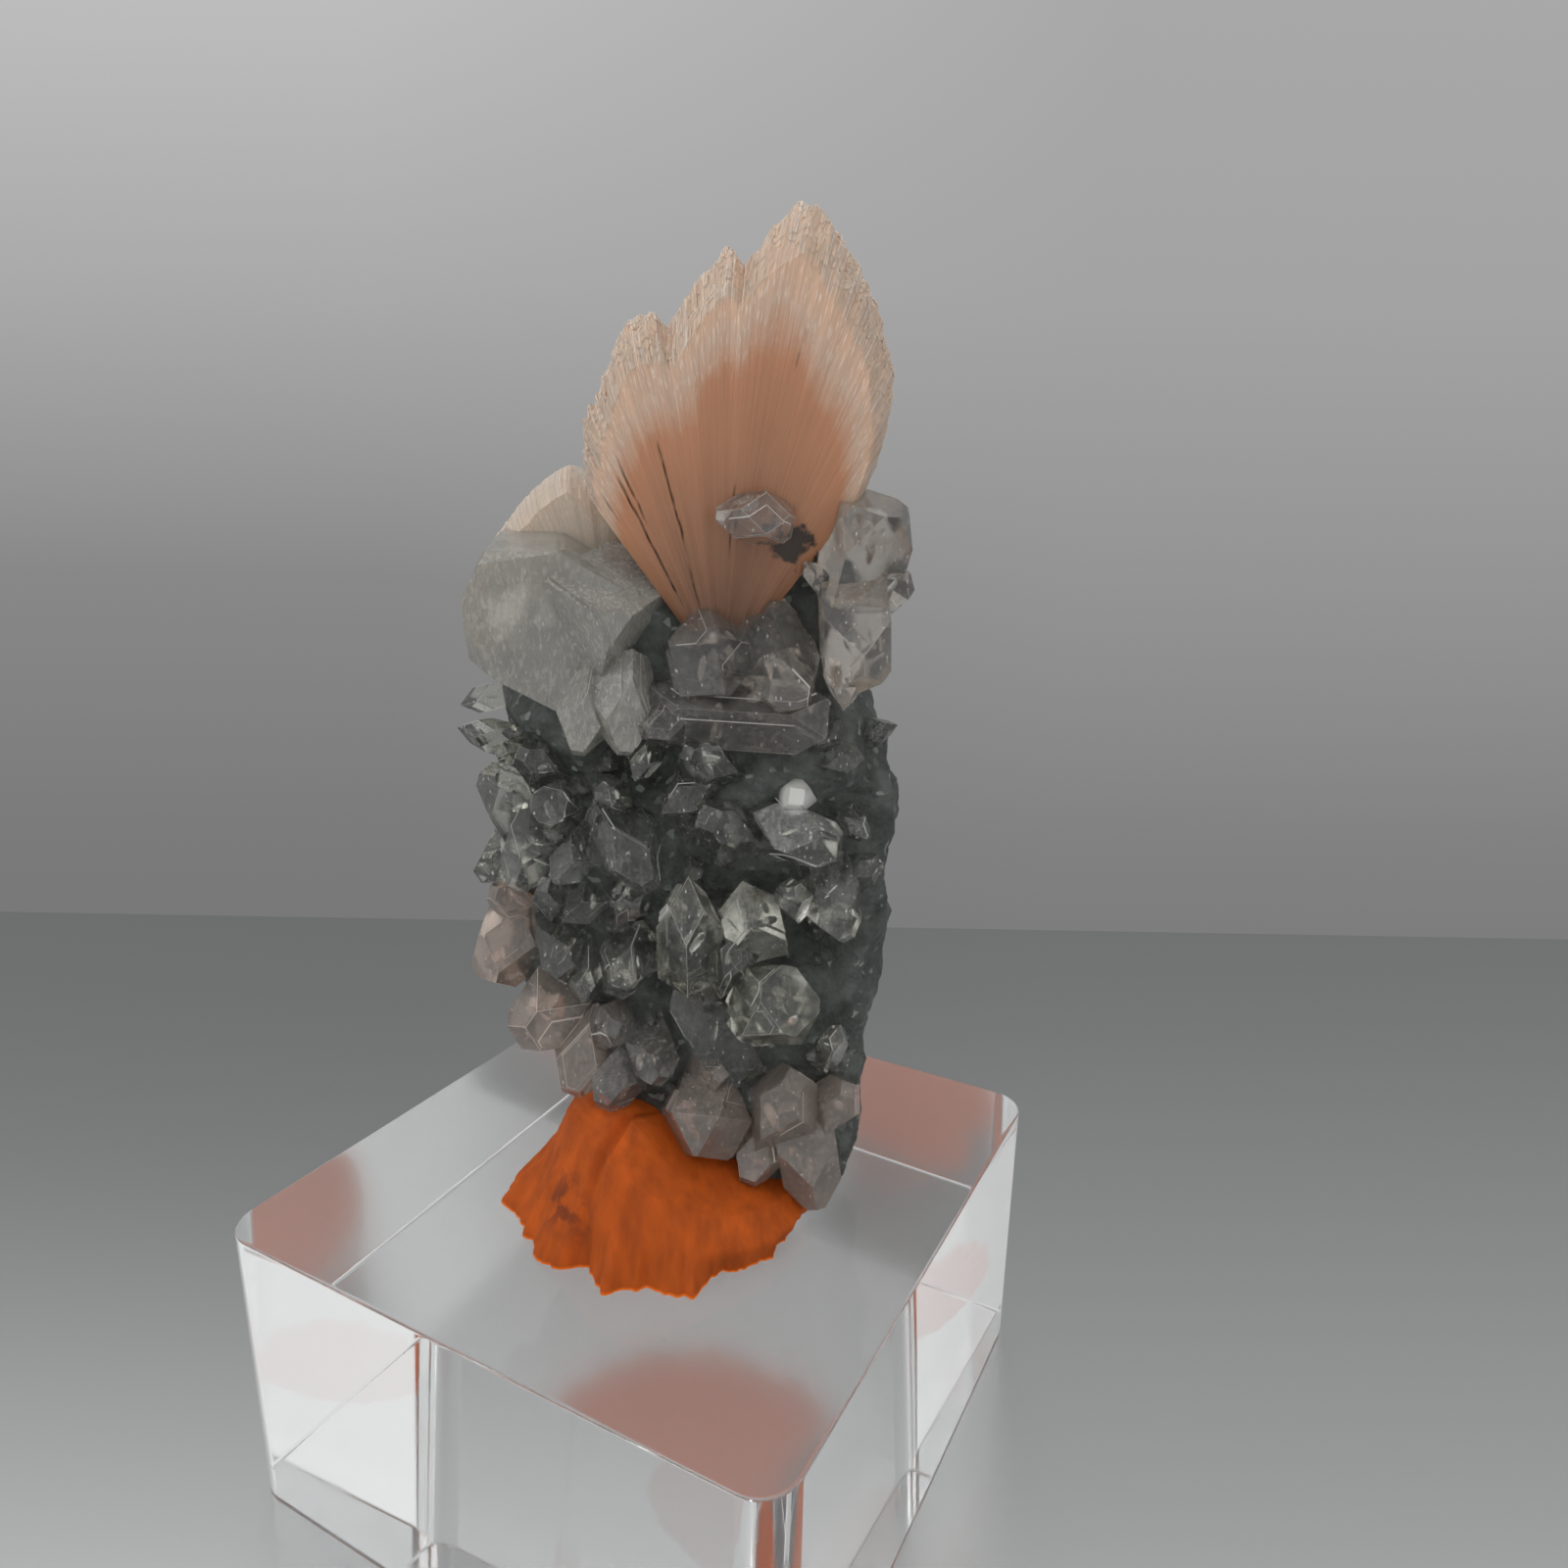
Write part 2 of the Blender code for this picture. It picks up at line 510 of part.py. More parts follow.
def crystal_mesh(spec, grow, chance):
    """One apophyllite crystal: a square prism whose corners are cut by its pointed faces."""
    bm = bmesh.new()
    half = spec.half + grow
    top = spec.flat + grow
    foot = spec.foot + grow
    bmesh.ops.create_cube(bm, size=1.0)
    bmesh.ops.scale(bm, vec=(2 * half, 2 * half, top + foot), verts=bm.verts[:])
    bmesh.ops.translate(bm, vec=(0.0, 0.0, (top - foot) / 2), verts=bm.verts[:])
    ends = (1.0, -1.0) if spec.pointed_foot else (1.0,)
    for end in ends:
        for quarter in range(4):
            around = math.radians(45.0 + 90.0 * quarter)
            lean = math.sin(POINT_LEAN)
            normal = Vector((lean * math.cos(around), lean * math.sin(around),
                             end * math.cos(POINT_LEAN)))
            uneven = 1.0 + chance.uniform(-POINT_UNEVENNESS, POINT_UNEVENNESS)
            reach = spec.tip * uneven * math.cos(POINT_LEAN) + grow
            slice_off(bm, normal * reach, normal)
    upright = Vector((0.0, 0.0, 1.0))
    stand = upright.rotation_difference(spec.axis) @ Quaternion(upright, spec.spin)
    place = Matrix.Translation(spec.at) @ stand.to_matrix().to_4x4()
    bmesh.ops.transform(bm, matrix=place, verts=bm.verts[:])
    for point, outward in spec.broken:
        slice_off(bm, point + grow * outward, outward)
    return bm


def crystal_group(name, specs, grow):
    """The union of one group's crystals, grown by a margin when it serves as a cutter."""
    chance = random.Random(name)
    solids = [new_object(name, crystal_mesh(spec, grow, chance)) for spec in specs]
    first = solids[0]
    combine(first, solids[1:], "UNION")
    for other in solids[1:]:
        bpy.data.objects.remove(other, do_unlink=True)
    first.name = name
    return first


def putty_ring(scale, rise):
    """One level of the putty, drawn in towards the specimen as it climbs."""
    ring = []
    start = PUTTY_ROWS[0][0]
    wrapped = PUTTY_ROWS + ((start + 360,) + PUTTY_ROWS[0][1:],)
    for i in range(PUTTY_SIDES):
        compass = start + 360.0 * i / PUTTY_SIDES
        reach, height = between(wrapped, compass)
        evened = min(1.0, PUTTY_EVENING * rise)
        reach += (PUTTY_REACH - reach) * evened
        turn = math.radians(compass)
        point = Vector((math.cos(turn), math.sin(turn), 0.0)) * reach * scale
        point += Vector((PUTTY_MIDDLE[0], PUTTY_MIDDLE[1], GAP + height * rise))
        lump = PUTTY_LUMPS[1] * noise.noise(point / PUTTY_LUMPS[0]) * rise
        ring.append(point + Vector((math.cos(turn), math.sin(turn), 0.0)) * lump)
    return ring


def mounting_putty():
    return loft("mounting_putty", [putty_ring(scale, rise) for scale, rise in PUTTY_LEVELS])


def make_material(name):
    colour, roughness, clear = FINISHES[name]
    material = bpy.data.materials.new(name)
    material.use_nodes = True
    shader = material.node_tree.nodes["Principled BSDF"]
    shader.inputs["Base Color"].default_value = (*colour, 1.0)
    shader.inputs["Roughness"].default_value = roughness
    shader.inputs["Metallic"].default_value = 0.0
    shader.inputs["Transmission Weight"].default_value = clear
    return material


def finish(thing, material, parent):
    """Scale from millimetres to metres, colour and hang under the parent."""
    thing.data.transform(Matrix.Scale(MM, 4))
    thing.data.materials.clear()
    thing.data.materials.append(material)
    thing.parent = parent


def main():
    clear_scene()
    block = acrylic_block()
    rock = basalt_matrix()
    main_sheaf = stilbite("stilbite_sheaf", MAIN_SHEAF)
    pale_sheaf = stilbite("stilbite_sheaf_pale", PALE_SHEAF)
    putty = mounting_putty()

    cutters = [grown_copy(rock, ROUGH_GAP)]
    for sheaf in (main_sheaf, pale_sheaf):
        grown = grown_copy(sheaf, ROUGH_GAP)
        combine(sheaf, cutters, "DIFFERENCE")
        tidy(sheaf)
        cutters.append(grown)

    groups = []
    for name, specs in CRYSTALS.items():
        group = crystal_group(name, specs, 0.0)
        grown = crystal_group(name, specs, GAP)
        combine(group, [c for c in cutters if boxes_meet(group, c)], "DIFFERENCE")
        tidy(group)
        cutters.append(grown)
        groups.append(group)
    combine(putty, [c for c in cutters if boxes_meet(putty, c)], "DIFFERENCE")
    tidy(putty)
    for cutter in cutters:
        bpy.data.objects.remove(cutter, do_unlink=True)

    turn = bpy.data.objects.new("specimen_turn", None)
    bpy.context.collection.objects.link(turn)
    turn.location = (0.0, 0.0, BLOCK_HEIGHT * MM)
    turn.rotation_euler = (0.0, 0.0, SPECIMEN_TURN)

    materials = {name: make_material(name) for name in FINISHES}
    finish(block, materials["acrylic"], None)
    finish(putty, materials["putty"], turn)
    finish(rock, materials["basalt"], turn)
    finish(main_sheaf, materials["stilbite"], turn)
    finish(pale_sheaf, materials["stilbite_pale"], turn)
    for group in groups:
        finish(group, materials["apophyllite"], turn)


main()
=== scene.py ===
"""Apophyllite and stilbite cluster: the finish of the specimen, its putty and its clear block.

Pieces are modelled in the specimen's own millimetres, x to the right, y away from the
viewer and z up from the block's top, and are then set in the row frame, in metres.
"""
import math
import random
from collections import namedtuple

import bpy
from mathutils import Matrix, Quaternion, Vector, noise


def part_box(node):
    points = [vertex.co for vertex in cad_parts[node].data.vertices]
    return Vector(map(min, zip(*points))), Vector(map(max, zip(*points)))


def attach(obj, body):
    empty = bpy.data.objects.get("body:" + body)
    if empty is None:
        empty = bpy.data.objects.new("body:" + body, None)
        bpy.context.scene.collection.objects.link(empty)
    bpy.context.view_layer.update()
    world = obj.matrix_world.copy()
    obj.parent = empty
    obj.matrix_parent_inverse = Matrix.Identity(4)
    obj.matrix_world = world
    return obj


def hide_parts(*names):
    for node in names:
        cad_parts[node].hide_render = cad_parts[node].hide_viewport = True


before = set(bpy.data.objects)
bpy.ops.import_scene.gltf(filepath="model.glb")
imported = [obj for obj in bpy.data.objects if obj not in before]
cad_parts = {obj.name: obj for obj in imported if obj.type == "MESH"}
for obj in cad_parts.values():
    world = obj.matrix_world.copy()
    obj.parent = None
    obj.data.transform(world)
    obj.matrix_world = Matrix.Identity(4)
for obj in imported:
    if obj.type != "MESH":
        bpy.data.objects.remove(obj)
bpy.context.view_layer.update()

bl_info = {
    "name": "Apophyllite and stilbite cluster",
    "version": (1, 0, 0),
    "blender": (4, 5, 0),
    "location": "View3D > Sidebar > Specimen",
    "description": "Finishes a zeolite cluster, its putty and its clear block around the packed model",
    "category": "Add Mesh",
}

MM = 0.001
BLOCK_LOW, BLOCK_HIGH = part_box("acrylic_block")
SPECIMEN_TURN = math.radians(28.0)
PLACE = (Matrix.Translation((0.0, 0.0, BLOCK_HIGH.z)) @ Matrix.Rotation(SPECIMEN_TURN, 4, "Z")
         @ Matrix.Scale(MM, 4))
BLOCK_PLACE = Matrix.Scale(MM, 4)
UPRIGHT = Vector((0.0, 0.0, 1.0))
RIGHTWARD = Matrix.Rotation(SPECIMEN_TURN, 3, "Z") @ Vector((1.0, 0.0, 0.0))
# Points of a rolled body that are closer than this are one point
MERGE_DISTANCE = 0.0005

# Block: steps of its rounded corners and rims, and a narrow margin round each flat face that
# keeps its reflections true
CORNER_STEPS = 20
RIM_STEPS = 4
BLOCK_MARGIN = 0.1
SMOOTH_ANGLE = math.radians(40)
# Share of the light that the handled, faintly greasy top scatters, and how deep that skin is
TOP_HAZE = 0.2
HAZE_DEPTH = 0.2
# Fine hairlines in the polish, and the patches where it is rubbed
HAIRLINE_SIZE = (0.25, 9.0, 0.25)
HAIRLINE_TURN = (0.3, 0.2, 0.7)
RUBBED_SIZE = 7.0

# Basalt: height, left edge, right edge, front and back of each level
ROCK_ROWS = (
    (0.9, 9.2, 13.2, -8.0, -3.0),
    (3.0, 3.6, 15.2, -8.4, 1.0),
    (6.0, -0.6, 16.0, -8.0, 3.6),
    (9.0, -4.2, 16.6, -7.4, 5.0),
    (12.0, -7.0, 17.2, -7.0, 5.8),
    (16.0, -10.2, 17.7, -6.6, 6.2),
    (20.5, -11.6, 17.5, -6.4, 6.6),
    (26.0, -12.0, 18.5, -6.4, 7.0),
    (29.0, -12.0, 18.3, -6.6, 7.0),
    (34.5, -12.2, 19.0, -6.6, 7.0),
    (40.0, -12.4, 16.4, -6.8, 6.8),
    (45.0, -12.0, 14.4, -6.0, 6.2),
    (49.0, -9.0, 14.6, -4.6, 5.6),
    (51.2, 0.5, 14.2, -3.8, 4.4),
    (52.6, 9.6, 13.6, -3.6, 2.0),
)
ROCK_AROUND = 300
ROCK_ALONG = 230
# Power that squares the stone's outline, and how its front bends back left of one place
ROCK_SQUARENESS = 0.62
ROCK_BEND_FROM = -2.0
ROCK_BEND = 0.045
# Swells and scooped chips: their size and height, and the level about which the chips lie
ROCK_SWELL = (7.5, 1.2)
ROCK_CHIP = (5.0, 2.0)
CHIP_LEVEL = 0.45
# Share of the roughness that also lifts the stone, and how hollows fade round to its back
ROCK_LIFT = 0.4
HOLLOW_POWER = 3
# How much smoother the raised ledge is
LEDGE_CALM = 0.8
# Finer relief of the broken stone: size of the lumps and how far they stand out
ROCK_GRAINS = ((2.4, 0.20), (1.1, 0.16), (0.5, 0.12))
# Hollows between the crystals and one raised ledge: x, z, radius, depth into the rock
ROCK_HOLLOWS = (
    (0.5, 37.6, 3.4, 2.2),
    (10.4, 24.0, 3.0, 2.4),
    (2.6, 20.0, 2.4, 1.6),
    (12.6, 39.2, 4.2, -2.2),
)
# Look of the stone: size of its dark and light blotches with their place on the noise and their
# share of its colour, size of its grains and of the grit on them, and colour of the feldspar
BLOTCH_SIZE = 2.6
BLOTCH_SHADES = ((0.3, 0.35), (0.5, 1.0), (0.72, 2.1))
GRAIN_SIZE = 0.45
GRIT_SIZE = 0.3
FELDSPAR_COLOUR = "#8E9690"

# Stilbite: angle from upright in degrees, distance from where the blades meet
Sheaf = namedtuple(
    "Sheaf", "focus middle_y outline start columns layers rings half_depth widening ragged cracks")
MAIN_SHEAF = Sheaf(
    focus=(5.2, 43.5), middle_y=-4.0, start=3.0, columns=210, layers=32, rings=60,
    half_depth=2.6, widening=0.12, ragged=1.0,
    outline=(
        (-35.5, 16.4), (-32.0, 18.4), (-27.0, 20.2), (-21.5, 21.9), (-17.0, 24.2), (-13.5, 24.8),
        (-10.5, 24.9), (-8.5, 23.7), (-5.0, 25.6), (-1.5, 27.2), (1.5, 28.7), (3.5, 27.7),
        (6.5, 30.0), (9.0, 31.6), (11.0, 31.8), (13.5, 30.8), (18.0, 29.0), (23.0, 27.0),
        (27.0, 25.0), (31.0, 22.8), (34.0, 20.4), (37.0, 17.0),
    ),
    # angle and the two ends of each dark crack on the front face
    cracks=(
        (-26.0, 5.5, 15.8), (-24.2, 11.5, 16.6), (-14.0, 9.0, 17.0), (-14.8, 5.0, 8.5),
        (4.6, 8.6, 13.6), (7.6, 9.4, 13.0), (13.6, 20.8, 24.0), (-32.0, 12.5, 15.0),
        (22.5, 10.0, 13.4),
    ),
)
PALE_SHEAF = Sheaf(
    focus=(-3.6, 42.6), middle_y=2.4, start=3.5, columns=130, layers=22, rings=30,
    half_depth=2.0, widening=0.13, ragged=0.25,
    outline=(
        (-76.0, 11.0), (-62.0, 12.6), (-48.0, 13.5), (-36.0, 14.2), (-25.0, 15.2), (-11.0, 16.4),
        (-6.0, 15.4), (6.0, 13.0),
    ),
    cracks=(),
)
# A sheaf's end drops towards its front and back, and its body thins towards its two sides
DOME_DROP = 0.12
DOME_POWER = 3.0
EDGE_THINNING = 0.3
EDGE_POWER = 6
# Ragged outline of the fan: teeth across its width and their height, how many rows of teeth there
# are through it, and how far they are set inside the plain outline
OUTLINE_TEETH = ((7.0, 0.8), (24.0, 0.4), (60.0, 0.2))
TEETH_THROUGH = 3.0
OUTLINE_INSET = 0.7
# In the flat sheaf: points nearer the middle than this may stray, faces above this height are blade
# ends, and points in front of this depth are on its front
INNER_PART = 0.999
TIP_LEVEL = 1.5
FRONT_LEVEL = -0.99
# Blade ends: how far they stray from their even places and the gap between them, in flat units,
# then how far they rise, alone and in bundles, how much they slant, and how much they narrow
TIP_STRAY = 0.35
TIP_GAP = 0.01
TIP_RISE = 0.03
TIP_BUNDLE = 0.3
TIP_OWN = 0.07
TIP_SLANT = 0.04
TIP_TAPER = 0.97
# Size of a bundle of blades, across and through
BUNDLE_SIZE = (0.035, 0.22)
# Relief of the silky face: blades for each degree and height, for broad and for fine blades, and
# how much they wander for each millimetre of their length
FIBRE_RELIEF = ((0.22, 0.16), (1.7, 0.016))
FIBRE_BEND = 0.03
# Dark cracks, carved as grooves whose darkness is painted shade: depth, half width, wander in
# degrees, length of their tapered ends, and how whole and how patchy they are
CRACK_DEPTH = 0.12
CRACK_WIDTH = 0.07
CRACK_WANDER = 0.5
CRACK_TAPER = 1.5
CRACK_WHOLE = 0.9
CRACK_PATCHY = 1.6
SHEAF_SEED = 11
# How far the colour zones wander along a blade, as a share of its length
ZONE_WANDER = 0.16
# Painted shade of a dark hollow in the face of the fan beside the small crystal, which the fan's
# mesh doesn't have: its reach and size of its tears
SHADED_HOLLOW_PLACE = (10.0, -8.0, 52.9)
SHADED_HOLLOW_REACH = 1.7
TEAR_SIZE = 1.1
# Patterns in a sheaf: repeats for each degree across and for each length of a blade, and the size
# of its soft clouds
STREAK_SCALE = (0.5, 2.2, 1.0)
FIBRE_SCALE = (4.0, 1.5, 1.0)
GLINT_SCALE = (3.2, 26.0, 1.0)
CLOUD_SIZE = 4.5
# Colour along a blade: share of the core's colour at each place, which darkens towards the base
# partly for a deeper colour and partly as painted shade, then the veil and the rim
CORE_SHADES = ((0.12, 0.22), (0.50, 0.7), (0.80, 1.0))
VEIL_FROM = 0.92
RIM_FROM = 0.99
VEIL_COLOUR = "#CFB39E"
PALE_CORE_COLOUR = "#C6BCAD"
PALE_VEIL_COLOUR = "#CDC0B1"
PALE_RIM_COLOUR = "#CDBBA9"
GLINT_COLOUR = "#FFF6EE"
PAINTED_SHADE_COLOUR = "#3A2A22"

# Apophyllite's pointed faces lean this far from its long axis
POINT_LEAN = math.radians(60.4)
POINT_UNEVENNESS = 0.05
# Buried length of a crystal for each unit of its half width, where its row gives none
FOOT_LENGTH = 1.5
# Two faces that meet at more than this angle have a worn edge of this width between them
CRYSTAL_EDGE = 0.07
WORN_ANGLE = math.radians(18)
# A face that is narrower than this many edge widths is an edge
WORN_WIDTHS = 1.6
# How much light passes a worn edge
EDGE_PASSING = 0.5
# Haze inside the crystals: size of its clouds and how much it varies, and how densely the tint
# absorbs light
HAZE_SIZE = 2.6
HAZE_SWING = 0.02
GLASS_DENSITY = 200.0
# Flecks, pits, etched patches and growth steps on the faces
FLECK_SPACING = 0.4
PIT_SIZE = 0.28
ETCHED_SIZE = 0.9
FACE_STEP_SIZE = 1.1
# How the fine scratches and pits lie on the crystals
SCRATCH_TURN = (0.0, math.radians(35), 0.0)
SCRATCH_STRETCH = (1.0, 1.0, 0.4)
# Painted highlight: a white spot that lets less light through, on one crystal of the middle group,
# seen from the front, standing in for a glint of the light
GLINT_SPOT_PLACE = (10.6, -9.0, 35.7)
GLINT_SPOT_STRETCH = (1.0, 0.3, 1.0)
GLINT_SPOT_REACH = 1.5
GLINT_SPOT_PASSING = 0.3
# Finishes: share of light that passes, least and greatest roughness, share of the faces' cells
# with a fleck, and strength of the pits and steps
Finish = namedtuple("Finish", "passing rough flecks relief")
CLEAR_FINISH = Finish(0.975, (0.0, 0.03), 0.44, 0.09)
ROSY_FINISH = Finish(0.94, (0.0, 0.05), 0.48, 0.13)
FROSTED_FINISH = Finish(0.73, (0.02, 0.12), 0.5, 0.5)
HAZY_FINISH = Finish(0.84, (0.0, 0.08), 0.52, 0.22)
DRUSE_FINISH = Finish(0.965, (0.0, 0.04), 0.42, 0.1)
HAZY_COLOUR = "#EADCD2"
# Crystals that grew in line with a larger one: how many for each millimetre of its half
# width, their share of its size, how far they stand out from its faces, how far they lie along
# it and how much longer they are, all in its half widths, and their share of its buried length
GROWTHS = 1.0
GROWTH_SHARE = (0.45, 0.85)
GROWTH_STEP = (0.015, 0.07)
GROWTH_SHIFT = (-0.35, 0.25)
GROWTH_LONGER = (-0.12, 0.07)
GROWTH_FOOT = 0.8
# How far a growth's broken corner lies behind the larger crystal's
BREAK_STEP = (0.05, 0.35)
# Points of joined crystals that are one point, and faces that are one flat face
JOIN_DISTANCE = 0.002
FLAT_ANGLE = math.radians(0.5)
# Healed cracks inside the crystals: how many for each millimetre of half width, how far from the
# middle across and along, their length and width, as shares of the half width, and thickness
HEALED_CRACKS = 2.2
HEALED_SPREAD = 0.5
HEALED_ALONG = (-0.3, 0.45)
HEALED_TIP = 0.6
HEALED_LENGTH = (0.25, 0.6)
HEALED_WIDTH = (0.25, 0.7)
HEALED_THICKNESS = 0.03

# at: middle of the square prism. axis: where its point looks. spin: turn about the axis.
# half: middle to side face. tip: middle to the sharp point. flat: where the point is cut
# off. foot: middle to the buried end. pointed_foot: the foot is a point as well. broken: a
# point and an outward direction for each corner that is broken off.
Crystal = namedtuple("Crystal", "at axis spin half tip flat foot pointed_foot broken")


def crystal(at, axis, spin, half, tip, flat=None, foot=None, pointed_foot=False, broken=()):
    flat = tip if flat is None else flat
    foot = half * FOOT_LENGTH if foot is None else foot
    broken = [(Vector(point), Vector(outward).normalized()) for point, outward in broken]
    return Crystal(Vector(at), Vector(axis).normalized(), math.radians(spin), half, tip, flat, foot,
                   pointed_foot, broken)


